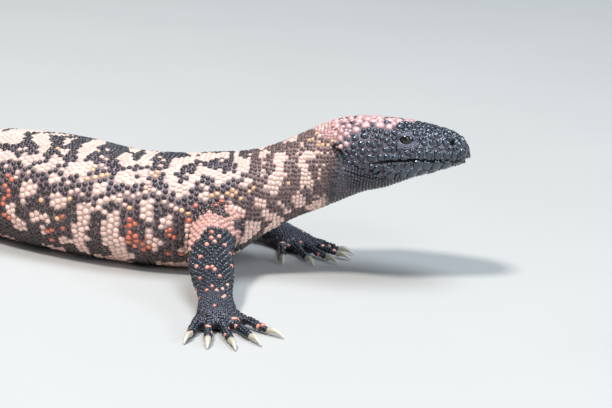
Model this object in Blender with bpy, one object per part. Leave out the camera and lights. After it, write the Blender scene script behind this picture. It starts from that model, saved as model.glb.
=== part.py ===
"""A gila monster at life size, lying low on a flat floor with its head raised.

Lengths in this file are in millimetres and become metres when a mesh is made. The head points
along +X, the animal's left side is +Y and up is +Z. The body is one loft along a curved spine,
parted with thin cuts into the pieces that a person would name. The legs are lofts of their own
that meet the body face to face. At the end everything is shifted so that the middle of the
bounding box stands on the origin.
"""

import math

import bmesh
import bpy
import numpy as np

# Driving sizes
MM = 0.001
GAP = 0.3
BODY_SIDES = 44
TAIL_SIDES = 30
HEAD_SIDES = 40
LIMB_SIDES = 14
DIGIT_SIDES = 6
CLAW_SIDES = 5
BODY_PITCH = 4.4
HEAD_PITCH = 2.75
SNOUT_PITCH = 0.8
SNOUT_LENGTH = 3.2
LIMB_PITCH = 3.8
FOOT_PITCH = 3.2
DIGIT_PITCH = 4.6
CLAW_PITCH = 2.2
LIP_PITCH = 5.2

# The beads, raised in the surface itself at every other point of its grid
BODY_RISE = 1.15
HEAD_RISE = 0.95
LIMB_RISE = 0.7
FOOT_RISE = 0.35
BEAD_BED = 0.35
FULL_BEADS_WIDTH = 12.0
BARE_ROUND_LEG = 17.5
BELLY_BARE = -0.55
SHARP_DEGREES = 14.0

# The spine from snout to tail: x, y, middle height, half width, half height, lean, squareness.
# Lean turns a section about the spine, in degrees, with the right side up.
SPINE = {
    "snout tip": (71.0, 0.0, 57.8, 2.6, 1.9, 8.0, 2.2),
    "rostral": (70.2, 0.0, 58.2, 5.2, 3.4, 8.0, 2.3),
    "lip front": (68.4, 0.0, 58.9, 7.7, 5.1, 8.0, 2.4),
    "nostril": (65.2, 0.0, 59.5, 10.0, 6.8, 8.0, 2.5),
    "snout": (60.0, 0.0, 59.5, 12.5, 8.7, 8.0, 2.6),
    "muzzle": (54.0, 0.0, 59.2, 14.4, 10.4, 8.0, 2.7),
    "brow front": (48.0, 0.0, 58.6, 15.9, 11.8, 8.0, 2.8),
    "eye": (41.5, 0.0, 57.6, 17.3, 13.5, 8.0, 2.8),
    "cheek": (34.5, 0.0, 56.2, 19.2, 15.2, 8.0, 2.6),
    "jaw muscle": (25.5, 0.0, 55.0, 21.2, 16.4, 7.5, 2.45),
    "ear": (16.5, 0.0, 52.4, 20.4, 18.0, 6.5, 2.35),
    "nape": (8.0, 0.0, 48.9, 18.6, 19.2, 5.0, 2.2),
    "neck": (-3.6, 0.0, 43.2, 18.8, 18.8, 3.0, 2.15),
    "neck base": (-16.0, 0.0, 36.2, 21.4, 19.4, 1.0, 2.15),
    "shoulder": (-30.0, 0.0, 28.6, 25.4, 22.8, 0.0, 2.2),
    "chest": (-42.0, 0.0, 24.8, 28.4, 25.0, 0.0, 2.25),
    "ribs": (-60.0, 0.8, 23.2, 30.6, 24.6, 0.0, 2.3),
    "belly front": (-84.0, 6.0, 22.8, 31.6, 24.4, 0.0, 2.3),
    "belly": (-105.0, 14.6, 23.4, 32.2, 25.2, 0.0, 2.3),
    "belly rear": (-128.4, 27.8, 23.0, 31.4, 24.8, 0.0, 2.3),
    "loin": (-146.0, 40.6, 21.8, 29.4, 23.4, 0.0, 2.3),
    "hip": (-169.0, 56.2, 19.0, 25.0, 20.6, 0.0, 2.25),
    "vent": (-191.0, 67.2, 15.6, 19.4, 17.0, 0.0, 2.2),
    "tail root": (-210.0, 73.6, 13.6, 15.4, 14.6, 0.0, 2.15),
    "tail fat": (-238.0, 80.0, 13.4, 15.4, 14.4, 0.0, 2.15),
    "tail middle": (-266.0, 81.8, 12.6, 14.6, 13.6, 0.0, 2.15),
    "tail rear": (-294.0, 78.0, 10.8, 12.4, 11.8, 0.0, 2.15),
    "tail end": (-316.0, 70.6, 7.6, 8.6, 8.2, 0.0, 2.1),
    "tail point": (-330.0, 63.4, 4.6, 5.0, 4.9, 0.0, 2.05),
    "tail tip": (-336.0, 59.6, 2.6, 2.2, 2.3, 0.0, 2.0),
}

# Where the body is parted, as x on the spine
CUTS = {
    "head": ("start", 9.0),
    "neck": (9.0, -24.0),
    "chest": (-24.0, -76.0),
    "belly": (-76.0, -140.0),
    "hips": (-140.0, -198.0),
    "tail_base": (-198.0, -244.0),
    "tail_middle": (-244.0, -292.0),
    "tail_tip": (-292.0, "end"),
}

# The legs, from inside the body outward: x, y, z, half width, half thickness
LEGS = {
    "front_right": {
        "root": (-37.0, -12.0, 25.0, 10.5, 11.0),
        "shoulder": (-38.0, -26.0, 22.6, 10.6, 11.4),
        "upper": (-39.2, -36.0, 19.8, 10.0, 10.8),
        "elbow": (-38.8, -46.0, 16.2, 9.4, 9.8),
        "forearm": (-36.6, -60.0, 11.8, 8.8, 8.4),
        "wrist": (-34.0, -77.0, 7.2, 7.2, 6.0),
        "palm": (-32.6, -87.0, 5.0, 8.4, 5.2),
        "knuckles": (-31.4, -95.0, 3.9, 9.0, 4.1),
        "palm end": (-30.9, -99.0, 3.0, 8.0, 2.8),
    },
    "front_left": {
        "root": (-38.0, 12.0, 25.0, 10.5, 11.0),
        "shoulder": (-40.0, 26.0, 22.0, 10.4, 11.0),
        "upper": (-39.4, 35.0, 18.6, 9.8, 10.2),
        "elbow": (-34.4, 42.4, 15.0, 9.0, 9.2),
        "forearm": (-25.4, 45.0, 11.2, 8.2, 7.8),
        "wrist": (-14.8, 39.8, 7.0, 7.2, 6.0),
        "palm": (-7.4, 34.0, 5.0, 8.6, 5.2),
        "knuckles": (-1.0, 28.6, 3.9, 9.2, 4.1),
        "palm end": (1.8, 26.2, 3.0, 8.0, 2.8),
    },
    "hind_right": {
        "root": (-175.0, 48.0, 18.5, 11.0, 12.0),
        "shoulder": (-179.0, 38.0, 18.0, 11.6, 12.0),
        "upper": (-181.0, 27.0, 17.0, 10.8, 11.2),
        "elbow": (-186.0, 16.5, 14.4, 9.8, 9.8),
        "forearm": (-195.0, 8.0, 11.0, 8.6, 8.2),
        "wrist": (-203.0, -0.5, 7.4, 7.6, 6.4),
        "palm": (-207.4, -9.6, 5.2, 9.0, 5.4),
        "knuckles": (-208.4, -19.0, 4.0, 9.8, 4.2),
        "palm end": (-208.4, -23.4, 3.0, 8.4, 2.8),
    },
    "hind_left": {
        "root": (-165.0, 66.0, 18.5, 11.0, 12.0),
        "shoulder": (-160.0, 76.0, 18.0, 11.6, 12.0),
        "upper": (-154.0, 86.0, 17.0, 10.8, 11.2),
        "elbow": (-150.5, 97.0, 14.4, 9.8, 9.8),
        "forearm": (-150.5, 109.0, 11.0, 8.6, 8.2),
        "wrist": (-152.0, 120.0, 7.4, 7.6, 6.4),
        "palm": (-150.0, 130.4, 5.2, 9.0, 5.4),
        "knuckles": (-145.6, 139.0, 4.0, 9.8, 4.2),
        "palm end": (-143.2, 142.6, 3.0, 8.4, 2.8),
    },
}

# The digits, first to last: angle from the foot's heading in degrees, length
FRONT_DIGITS = ((47.0, 10.5), (26.0, 15.5), (9.0, 19.0), (-5.0, 17.5), (-18.0, 13.5))
HIND_DIGITS = ((48.0, 12.5), (26.0, 17.5), (8.0, 21.5), (-12.0, 20.5), (-46.0, 13.5))
DIGIT_SPACING = 3.6
DIGIT_ROOT_DEPTH = 3.0
WIDE_DIGIT_ANGLE = 30.0
WIDE_DIGIT_ROOT_DEPTH = 6.0
NEAR_BODY = 42.0

# A digit and a claw along their length: share of the length, height of the middle, half size
DIGIT_SHAPE = ((0.0, 3.0, 2.5), (0.35, 3.3, 2.3), (0.7, 2.6, 2.15), (1.0, 1.9, 1.9))
CLAW_LENGTH = 7.6
CLAW_SHAPE = ((0.0, 2.0, 1.45), (0.3, 2.5, 1.25), (0.62, 2.1, 0.87), (0.88, 1.2, 0.46), (1.0, 0.6, 0.23))

# The head's features, as x on the spine, sideways and upward from the section's middle
EYE = (41.5, 15.6, 5.6)
EYE_RADIUS = 3.4
EYE_DEPTH = 1.7
LID_HALF_LENGTH = 4.3
LID_HALF_HEIGHT = 2.75
LID_THICKNESS = 1.15
LID_SIDES = 18
NOSTRIL = (63.0, 9.6, 4.2)
NOSTRIL_HALF = (1.25, 1.6, 0.95)
EAR = (13.9, 19.6, 3.4)
EAR_HALF = (1.7, 1.5, 3.6)
MOUTH_CORNER = (33.0, -2.6)
MOUTH_SHEET_HALF = 40.0
SNOUT_X = 71.0
MOUTH_LINE = ((76.0, -3.4), (69.0, -3.2), (62.0, -4.4), (55.0, -4.0), (46.0, -2.4), (39.0, -2.2))
JAW_REAR = ((30.5, -7.5), (27.0, -13.0), (25.5, -24.0))
LIP_HALF = (0.7, 1.0)
LIP_OFFSET = 1.25
LIP_PLACES = (67.6, 65.0, 61.0, 56.0, 51.0, 46.0, 41.0, 36.5)
BARE_ROUND = {"eye": 6.4, "nostril": 2.6, "ear": 4.6}

# Colours, as red, green, blue
BLACK_SKIN = (0.035, 0.032, 0.036)
PINK_SKIN = (0.74, 0.46, 0.36)
DARK_SKIN = (0.055, 0.047, 0.050)
CLAW_COLOUR = (0.62, 0.60, 0.48)
EYE_COLOUR = (0.010, 0.009, 0.010)


class Track:
    """Smooth values between named places, by distance along the animal."""

    def __init__(self, rows):
        self.rows = np.array(rows, float)
        steps = np.linalg.norm(np.diff(self.rows[:, :3], axis=0), axis=1)
        self.places = np.concatenate([[0.0], np.cumsum(steps)])
        slopes = np.diff(self.rows, axis=0) / steps[:, None]
        before, after = steps[:-1, None], steps[1:, None]
        inner = (slopes[:-1] * after + slopes[1:] * before) / (before + after)
        self.slopes = np.vstack([slopes[:1], inner, slopes[-1:]])
        self.length = self.places[-1]

    def at(self, distance):
        """The row of values at this distance."""
        i = int(np.clip(np.searchsorted(self.places, distance) - 1, 0, len(self.rows) - 2))
        step = self.places[i + 1] - self.places[i]
        t = np.clip((distance - self.places[i]) / step, 0.0, 1.0)
        return (
            (2 * t**3 - 3 * t**2 + 1) * self.rows[i]
            + (t**3 - 2 * t**2 + t) * step * self.slopes[i]
            + (3 * t**2 - 2 * t**3) * self.rows[i + 1]
            + (t**3 - t**2) * step * self.slopes[i + 1]
        )

    def heading(self, distance, reach=0.5):
        """The direction of travel at this distance."""
        ahead = self.at(min(distance + reach, self.length))[:3]
        behind = self.at(max(distance - reach, 0.0))[:3]
        return (ahead - behind) / np.linalg.norm(ahead - behind)

    def find_x(self, x):
        """The distance at which the track, which only moves toward -X, passes this x."""
        low, high = 0.0, self.length
        for _ in range(40):
            middle = (low + high) / 2
            if self.at(middle)[0] > x:
                low = middle
            else:
                high = middle
        return low


BODY = Track(list(SPINE.values()))
BARE_SPOTS = []


def material(name, colour, roughness):
    """A plain Principled material in this colour."""
    made = bpy.data.materials.new(name)
    made.use_nodes = True
    shader = made.node_tree.nodes["Principled BSDF"]
    shader.inputs["Base Color"].default_value = (*colour, 1.0)
    shader.inputs["Roughness"].default_value = roughness
    made.diffuse_color = (*colour, 1.0)
    return made


def section(half_width, half_height, squareness, count):
    """A rounded outline of evenly spaced points, from the bottom round by the left side."""
    turn = np.linspace(0, 2 * math.pi, 721)[:-1] - math.pi / 2
    power = 2 / squareness
    side = half_width * np.sign(np.cos(turn)) * np.abs(np.cos(turn)) ** power
    up = half_height * np.sign(np.sin(turn)) * np.abs(np.sin(turn)) ** power
    closed_side, closed_up = np.append(side, side[0]), np.append(up, up[0])
    walked = np.concatenate([[0], np.cumsum(np.hypot(np.diff(closed_side), np.diff(closed_up)))])
    places = np.linspace(0, walked[-1], count + 1)[:-1]
    return np.interp(places, walked, closed_side), np.interp(places, walked, closed_up)


def body_frame(distance):
    """The middle, left and up directions of the body's section at this distance."""
    row = BODY.at(distance)
    ahead = -BODY.heading(distance)
    flat = np.array([ahead[0], ahead[1], 0.0]) / math.hypot(ahead[0], ahead[1])
    left = np.array([-flat[1], flat[0], 0.0])
    lean = math.radians(row[5])
    up = np.array([0.0, 0.0, 1.0])
    return row, left * math.cos(lean) - up * math.sin(lean), up * math.cos(lean) + left * math.sin(lean)


def body_ring(distance, count, swell=0.0):
    """One closed ring of points on the body's surface, or this far outside it."""
    row, left, up = body_frame(distance)
    side, rise = section(row[3] + swell, row[4] + swell, row[6], count)
    ring = row[:3] + side[:, None] * left + rise[:, None] * up
    ring[:, 2] = np.maximum(ring[:, 2], -swell)
    return ring


def beaded_ring(distance, count, height, place):
    """A body ring whose every other point is raised into a bead, except where the skin is bare."""
    row, left, up = body_frame(distance)
    ring = body_ring(distance, count)
    outward = ring - row[:3]
    outward /= np.linalg.norm(outward, axis=1)[:, None]
    raised = (np.arange(count) + place) % 2 == 0
    bare = outward @ up < BELLY_BARE
    for spot, reach in BARE_SPOTS:
        bare |= np.linalg.norm(ring - spot, axis=1) < reach
    height *= min(1.0, row[3] / FULL_BEADS_WIDTH)
    height = np.where(raised, height, 0.0) - BEAD_BED
    ring += outward * np.where(bare, 0.0, height)[:, None]
    return ring


def lip_spot(x, rise, hand):
    """A point on the head's surface at this x and this far up its section."""
    row, left, up = body_frame(BODY.find_x(x))
    share = (1.0 - abs(rise / row[4]) ** row[6]) ** (1.0 / row[6])
    return row[:3] + hand * row[3] * share * left + rise * up


def head_spot(x, side, rise):
    """A point beside the spine at this x, side toward the animal's left and rise up its section."""
    row, left, up = body_frame(BODY.find_x(x))
    return row[:3] + side * left + rise * up


def stations(start, end, pitch):
    """Distances from start to end, about this pitch apart."""
    return np.linspace(start, end, max(2, round((end - start) / pitch) + 1))


def loft(name, rings, look):
    """A closed solid through these rings of points, with a flat end at each side.

    Each cell's diagonal runs between the two points that a bead doesn't raise.
    """
    mesh = bmesh.new()
    layers = [[mesh.verts.new(point * MM) for point in ring] for ring in rings]
    count = len(layers[0])
    for place, (first, second) in enumerate(zip(layers, layers[1:])):
        for i in range(count):
            j = (i + 1) % count
            if (i + place) % 2 == 0:
                mesh.faces.new((first[i], first[j], second[i]))
                mesh.faces.new((first[j], second[j], second[i]))
            else:
                mesh.faces.new((first[i], first[j], second[j]))
                mesh.faces.new((first[i], second[j], second[i]))
    ends = [mesh.faces.new(layers[0][::-1]), mesh.faces.new(layers[-1])]
    bmesh.ops.triangulate(mesh, faces=ends)
    bmesh.ops.recalc_face_normals(mesh, faces=mesh.faces[:])
    return mesh_object(name, mesh, look)


def mesh_object(name, mesh, look):
    """A named object from this bmesh, linked into the animal's collection."""
    data = bpy.data.meshes.new(name)
    mesh.to_mesh(data)
    mesh.free()
    data.materials.append(look)
    made = bpy.data.objects.new(name, data)
    bpy.data.collections["gila_monster"].objects.link(made)
    return made


def ball(name, middle, halves, look, rings=10, sides=16):
    """A closed ellipsoid with these half sizes along X, Y and Z."""
    mesh = bmesh.new()
    bmesh.ops.create_uvsphere(mesh, u_segments=sides, v_segments=rings, radius=1.0)
    for vert in mesh.verts:
        vert.co = (np.array(middle) + np.array(vert.co) * np.array(halves)) * MM
    bmesh.ops.triangulate(mesh, faces=mesh.faces[:])
    bmesh.ops.recalc_face_normals(mesh, faces=mesh.faces[:])
    return mesh_object(name, mesh, look)


def combine(base, others, operation):
    """Joins others to base, or cuts them from it, in one Boolean, and removes them."""
    tools = bpy.data.collections.new("tools")
    bpy.context.scene.collection.children.link(tools)
    for other in others:
        bpy.data.collections["gila_monster"].objects.unlink(other)
        tools.objects.link(other)
    step = base.modifiers.new(operation.lower(), "BOOLEAN")
    step.operation = operation
    step.operand_type = "COLLECTION"
    step.collection = tools
    step.solver = "EXACT"
    bpy.context.view_layer.update()
    evaluated = base.evaluated_get(bpy.context.evaluated_depsgraph_get())
    data = bpy.data.meshes.new_from_object(evaluated)
    base.modifiers.clear()
    base.data = data
    for other in others:
        bpy.data.objects.remove(other)
    bpy.data.collections.remove(tools)
    return base


def pieces_of(mesh):
    """The separate surfaces of a bmesh, as lists of faces, the largest first."""
    found, seen = [], set()
    for start in mesh.faces:
        if start in seen:
            continue
        piece, edge_of_search = [], [start]
        seen.add(start)
        while edge_of_search:
            face = edge_of_search.pop()
            piece.append(face)
            for edge in face.edges:
                for other in edge.link_faces:
                    if other not in seen:
                        seen.add(other)
                        edge_of_search.append(other)
        found.append(piece)
    return sorted(found, key=lambda faces: -sum(face.calc_area() for face in faces))


def keep_piece(made, place=0):
    """Keeps only one closed surface of an object, counted from the largest."""
    mesh = bmesh.new()
    mesh.from_mesh(made.data)
    pieces = pieces_of(mesh)
    dropped = [face for i, piece in enumerate(pieces) if i != place for face in piece]
    bmesh.ops.delete(mesh, geom=dropped, context="FACES")
    bmesh.ops.triangulate(mesh, faces=mesh.faces[:])
    mesh.to_mesh(made.data)
    mesh.free()
    return made


def body_loft(name, start, end, look):
    """A smooth length of the body, a thin gap larger all round, as a closed solid."""
    places = stations(start, end, BODY_PITCH)
    return loft(name, [body_ring(place, BODY_SIDES, GAP) for place in places], look)


def beaded_loft(name, places, look, sides=BODY_SIDES, height=BODY_RISE):
    """A length of the body as a closed solid with its beads raised, except along its two ends."""
    heights = [0.0, *[height] * (len(places) - 2), 0.0]
    rings = [beaded_ring(place, sides, heights[i], i) for i, place in enumerate(places)]
    return loft(name, rings, look)


def make_body(looks):
    """The body's lengths behind the head, each with a thin gap to the next."""
    for name, (front, rear) in CUTS.items():
        if name == "head":
            continue
        start = BODY.find_x(front) + GAP / 2
        end = BODY.length if rear == "end" else BODY.find_x(rear) - GAP / 2
        sides = TAIL_SIDES if name.startswith("tail") else BODY_SIDES
        beaded_loft(name, stations(start, end, BODY_PITCH), looks["flank"], sides)


def mouth_cutter(look):
    """A thin sheet along the line of the mouth, bent down behind the lower jaw."""
    middles = []
    for x, rise in (*MOUTH_LINE, MOUTH_CORNER, *JAW_REAR):
        past_snout = max(x - SNOUT_X, 0.0)
        middles.append(head_spot(x - past_snout, 0.0, rise) + (past_snout, 0.0, 0.0))
    _, left, _ = body_frame(BODY.find_x(EYE[0]))
    rings = []
    for i, middle in enumerate(middles):
        along = middles[min(i + 1, len(middles) - 1)] - middles[max(i - 1, 0)]
        along /= np.linalg.norm(along)
        across = np.cross(left, along)
        across /= np.linalg.norm(across)
        wide, thick = MOUTH_SHEET_HALF * left, GAP / 2 * across
        corners = ((-1, -1), (1, -1), (1, 1), (-1, 1))
        rings.append(np.array([middle + a * wide + b * thick for a, b in corners]))
    return loft("mouth_cut", rings, look)


def lid(name, middle, hand, look):
    """The raised ring of the two eyelids."""
    bpy.ops.mesh.primitive_torus_add(
        major_segments=LID_SIDES,
        minor_segments=6,
        major_radius=1.0,
        minor_radius=LID_THICKNESS / LID_HALF_HEIGHT,
    )
    made = bpy.context.object
    _, left, up = body_frame(BODY.find_x(EYE[0]))
    ahead = np.cross(left, up)
    outward = left * hand
    for vert in made.data.vertices:
        along, high, out = vert.co
        spot = along * LID_HALF_LENGTH * ahead
        spot += high * LID_HALF_HEIGHT * up + out * LID_HALF_HEIGHT * outward
        vert.co = (middle + spot) * MM
    mesh = bmesh.new()
    mesh.from_mesh(made.data)
    bpy.data.objects.remove(made)
    bmesh.ops.triangulate(mesh, faces=mesh.faces[:])
    bmesh.ops.recalc_face_normals(mesh, faces=mesh.faces[:])
    return mesh_object(name, mesh, look)


def lip(name, hand, offset, look):
    """A low ridge along the mouth, this far above or below its line."""
    line = np.array(sorted((*MOUTH_LINE, MOUTH_CORNER)))
    rows = []
    for x in LIP_PLACES:
        spot = lip_spot(x, np.interp(x, line[:, 0], line[:, 1]) + offset, hand)
        rows.append((*spot, *LIP_HALF))
    track = Track(rows)
    places = stations(0.0, track.length, LIP_PITCH)
    return loft(name, [limb_ring(track, place, 6) for place in places], look)


def make_head(looks):
    """The head with lids, lips, nostrils, ears and eyes, parted from the lower jaw along the mouth."""
    end = BODY.find_x(CUTS["head"][1]) - GAP / 2
    snout = stations(0.0, SNOUT_LENGTH, SNOUT_PITCH)
    places = np.concatenate([snout[:-1], stations(SNOUT_LENGTH, end, HEAD_PITCH)])
    head = beaded_loft("head", places, looks["head"], HEAD_SIDES, HEAD_RISE)
    added, cut = [], []
    for name, hand in (("right", -1), ("left", 1)):
        x, side, rise = EYE
        _, left, _ = body_frame(BODY.find_x(x))
        eye = head_spot(x, side * hand, rise)
        middle = eye - left * hand * EYE_DEPTH
        added.append(lid(f"lid_{name}", eye + left * hand, hand, looks["head"]))
        added.append(lip(f"upper_lip_{name}", hand, LIP_OFFSET, looks["head"]))
        added.append(lip(f"lower_lip_{name}", hand, -LIP_OFFSET, looks["head"]))
        cut.append(ball(f"socket_{name}", middle, [EYE_RADIUS + GAP] * 3, looks["head"]))
        ball(f"eye_{name}", middle, [EYE_RADIUS] * 3, looks["eye"], 9, 13)
        nostril = head_spot(NOSTRIL[0], NOSTRIL[1] * hand, NOSTRIL[2])
        cut.append(ball(f"nostril_{name}", nostril, NOSTRIL_HALF, looks["head"], 6, 8))
        ear = head_spot(EAR[0], EAR[1] * hand, EAR[2])
        cut.append(ball(f"ear_{name}", ear, EAR_HALF, looks["head"], 8, 10))
    combine(head, added, "UNION")
    combine(head, cut, "DIFFERENCE")
    combine(head, [mouth_cutter(looks["head"])], "DIFFERENCE")
    jaw = head.copy()
    jaw.data = head.data.copy()
    jaw.name = "lower_jaw"
    bpy.data.collections["gila_monster"].objects.link(jaw)
    keep_piece(head, 0)
    keep_piece(jaw, 1)


def limb_ring(track, distance, count, upright=False):
    """One closed ring of points round a leg, flattened where it meets the floor."""
    row = track.at(distance)
    ahead = track.heading(distance)
    if upright:
        ahead = np.array([ahead[0], ahead[1], 0.0]) / math.hypot(ahead[0], ahead[1])
    side = np.cross(ahead, (0.0, 0.0, 1.0))
    side /= np.linalg.norm(side)
    up = np.cross(side, ahead)
    turn = np.arange(count) * 2 * math.pi / count
    ring = row[:3] + np.cos(turn)[:, None] * row[3] * side + np.sin(turn)[:, None] * row[4] * up
    ring[:, 2] = np.maximum(ring[:, 2], 0.0)
    return ring


def limb_loft(name, track, start, end, look, pitch=LIMB_PITCH, height=LIMB_RISE):
    """A length of a leg as a closed solid, with its beads raised."""
    rings = []
    places = stations(start, end, pitch)
    for place, distance in enumerate(places):
        ring = limb_ring(track, distance, LIMB_SIDES)
        outward = ring - track.at(distance)[:3]
        outward /= np.linalg.norm(outward, axis=1)[:, None]
        raised = (np.arange(LIMB_SIDES) + place) % 2 == 0
        raised &= ring[:, 2] > LIMB_RISE * 2
        raised &= 0 < place < len(places) - 1
        rings.append(ring + outward * np.where(raised, height, 0.0)[:, None])
    return loft(name, rings, look)


def digit_loft(name, track, look, sides, pitch):
    """A whole digit or claw as a closed solid, with upright ends."""
    places = stations(0.0, track.length, pitch)
    return loft(name, [limb_ring(track, distance, sides, upright=True) for distance in places], look)


def digit_track(root, heading, length):
    """A digit's path, from inside the palm to the base of its claw."""
    rows = []
    for share, height, half in DIGIT_SHAPE:
        rows.append((*(root[:2] + heading * length * share), height, half, half))
    return Track(rows)


def claw_track(tip, heading):
    """A claw's path, curving down from the digit's end to just above the floor."""
    rows = []
    for share, height, half in CLAW_SHAPE:
        rows.append((*(tip[:2] + heading * (GAP + CLAW_LENGTH * share)), height, half, half))
    return Track(rows)


def make_leg(name, places, looks):
    """A leg in three nodes with five digits and their claws."""
    track = Track(list(places.values()))
    order = list(places)
    elbow = track.places[order.index("elbow")]
    wrist = track.places[order.index("wrist")]
    upper = limb_loft(f"upper_leg_{name}", track, 0.0, elbow - GAP / 2, looks["leg"])
    middle = BODY.find_x(places["root"][0])
    near = body_loft("near", middle - NEAR_BODY, middle + NEAR_BODY, looks["leg"])
    combine(upper, [near], "DIFFERENCE")
    keep_piece(upper)
    limb_loft(f"lower_leg_{name}", track, elbow + GAP / 2, wrist - GAP / 2, looks["leg"])
    start = wrist + GAP / 2
    foot = limb_loft(f"foot_{name}", track, start, track.length, looks["leg"], FOOT_PITCH, FOOT_RISE)
    knuckles = np.array(places["knuckles"])
    forward = knuckles[:2] - np.array(places["wrist"])[:2]
    forward /= np.linalg.norm(forward)
    inward = 1 if name.endswith("right") else -1
    toward_thumb = np.array([-forward[1], forward[0]]) * inward
    digits = FRONT_DIGITS if name.startswith("front") else HIND_DIGITS
    fused = []
    for number, (angle, length) in enumerate(digits, 1):
        spread = math.radians(angle)
        heading = forward * math.cos(spread) + toward_thumb * math.sin(spread)
        across = (3 - number) * DIGIT_SPACING
        back = DIGIT_ROOT_DEPTH if abs(angle) < WIDE_DIGIT_ANGLE else WIDE_DIGIT_ROOT_DEPTH
        root = knuckles[:2] + toward_thumb * across - forward * back
        digit = digit_track(root, heading, length + back)
        fused.append(digit_loft(f"digit_{number}", digit, looks["leg"], DIGIT_SIDES, DIGIT_PITCH))
        claw = claw_track(digit.rows[-1], heading)
        digit_loft(f"claw_{name}_{number}", claw, looks["claw"], CLAW_SIDES, CLAW_PITCH)
    combine(foot, fused, "UNION")
    keep_piece(foot)


def centre_on_floor(parts):
    """Shifts every object so that the bounding box stands with its middle on the origin."""
    low, high = np.full(3, np.inf), np.full(3, -np.inf)
    for part in parts:
        points = np.array([vert.co for vert in part.data.vertices])
        low, high = np.minimum(low, points.min(axis=0)), np.maximum(high, points.max(axis=0))
    shift = -(low + high) / 2
    shift[2] = -low[2]
    for part in parts:
        for vert in part.data.vertices:
            vert.co = np.array(vert.co) + shift


def find_bare_spots():
    """Where the skin carries no beads: round the roots of the legs and the head's features."""
    for places in LEGS.values():
        for place in ("root", "shoulder"):
            BARE_SPOTS.append((np.array(places[place][:3]), BARE_ROUND_LEG))
    for hand in (-1, 1):
        for name, (x, side, rise) in (("eye", EYE), ("nostril", NOSTRIL), ("ear", EAR)):
            BARE_SPOTS.append((head_spot(x, side * hand, rise), BARE_ROUND[name]))


def main():
    for old in list(bpy.data.objects):
        bpy.data.objects.remove(old)
    animal = bpy.data.collections.new("gila_monster")
    bpy.context.scene.collection.children.link(animal)
    looks = {
        "head": material("black_head_skin", BLACK_SKIN, 0.35),
        "flank": material("pink_beaded_skin", PINK_SKIN, 0.55),
        "leg": material("dark_leg_skin", DARK_SKIN, 0.45),
        "claw": material("claw_horn", CLAW_COLOUR, 0.40),
        "eye": material("dark_eye", EYE_COLOUR, 0.05),
    }
    find_bare_spots()
    make_head(looks)
    make_body(looks)
    for name, places in LEGS.items():
        make_leg(name, places, looks)
    centre_on_floor(list(animal.objects))
    for part in animal.objects:
        part.data.shade_smooth()
        part.data.set_sharp_from_angle(angle=math.radians(SHARP_DEGREES))


main()
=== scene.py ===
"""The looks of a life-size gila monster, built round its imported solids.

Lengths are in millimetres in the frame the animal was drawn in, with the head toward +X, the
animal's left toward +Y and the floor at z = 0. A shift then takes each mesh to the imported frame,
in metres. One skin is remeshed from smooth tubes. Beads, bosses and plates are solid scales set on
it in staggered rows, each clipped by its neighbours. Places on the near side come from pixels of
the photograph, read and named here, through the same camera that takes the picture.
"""

import math

import bmesh
import bpy
import numpy as np
from mathutils import Matrix, Vector
from mathutils.bvhtree import BVHTree
from mathutils.kdtree import KDTree

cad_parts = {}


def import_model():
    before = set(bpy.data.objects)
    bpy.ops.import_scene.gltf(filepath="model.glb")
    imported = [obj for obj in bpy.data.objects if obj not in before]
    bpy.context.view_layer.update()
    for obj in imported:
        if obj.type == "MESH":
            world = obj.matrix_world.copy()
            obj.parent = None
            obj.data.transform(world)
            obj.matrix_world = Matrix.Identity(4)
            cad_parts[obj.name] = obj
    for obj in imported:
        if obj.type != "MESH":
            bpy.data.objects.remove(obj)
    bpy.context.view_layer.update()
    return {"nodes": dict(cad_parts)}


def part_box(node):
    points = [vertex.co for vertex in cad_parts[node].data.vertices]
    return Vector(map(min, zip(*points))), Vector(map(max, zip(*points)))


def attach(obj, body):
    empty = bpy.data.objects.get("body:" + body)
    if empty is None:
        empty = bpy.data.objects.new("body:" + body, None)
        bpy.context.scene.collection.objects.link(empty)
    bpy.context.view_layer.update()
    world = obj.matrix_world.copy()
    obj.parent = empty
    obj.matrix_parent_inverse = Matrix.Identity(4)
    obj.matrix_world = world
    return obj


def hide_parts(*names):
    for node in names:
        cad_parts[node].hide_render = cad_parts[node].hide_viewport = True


MM = 0.001
SEED = 7

# The camera, in the drawing frame: the place it looks at, and how far off and high it is
LENS = 100.0
SENSOR = 36.0
PHOTO = (612.0, 408.0)
CAMERA_TARGET = (0.0, 0.0, 30.0)
CAMERA_DISTANCE = 760.0
CAMERA_RISE = 14.0
CAMERA_ROLL = 4.0
PIXEL_SCALE = LENS / SENSOR * PHOTO[0]
MM_PER_PIXEL = 1 / 2.23

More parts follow.
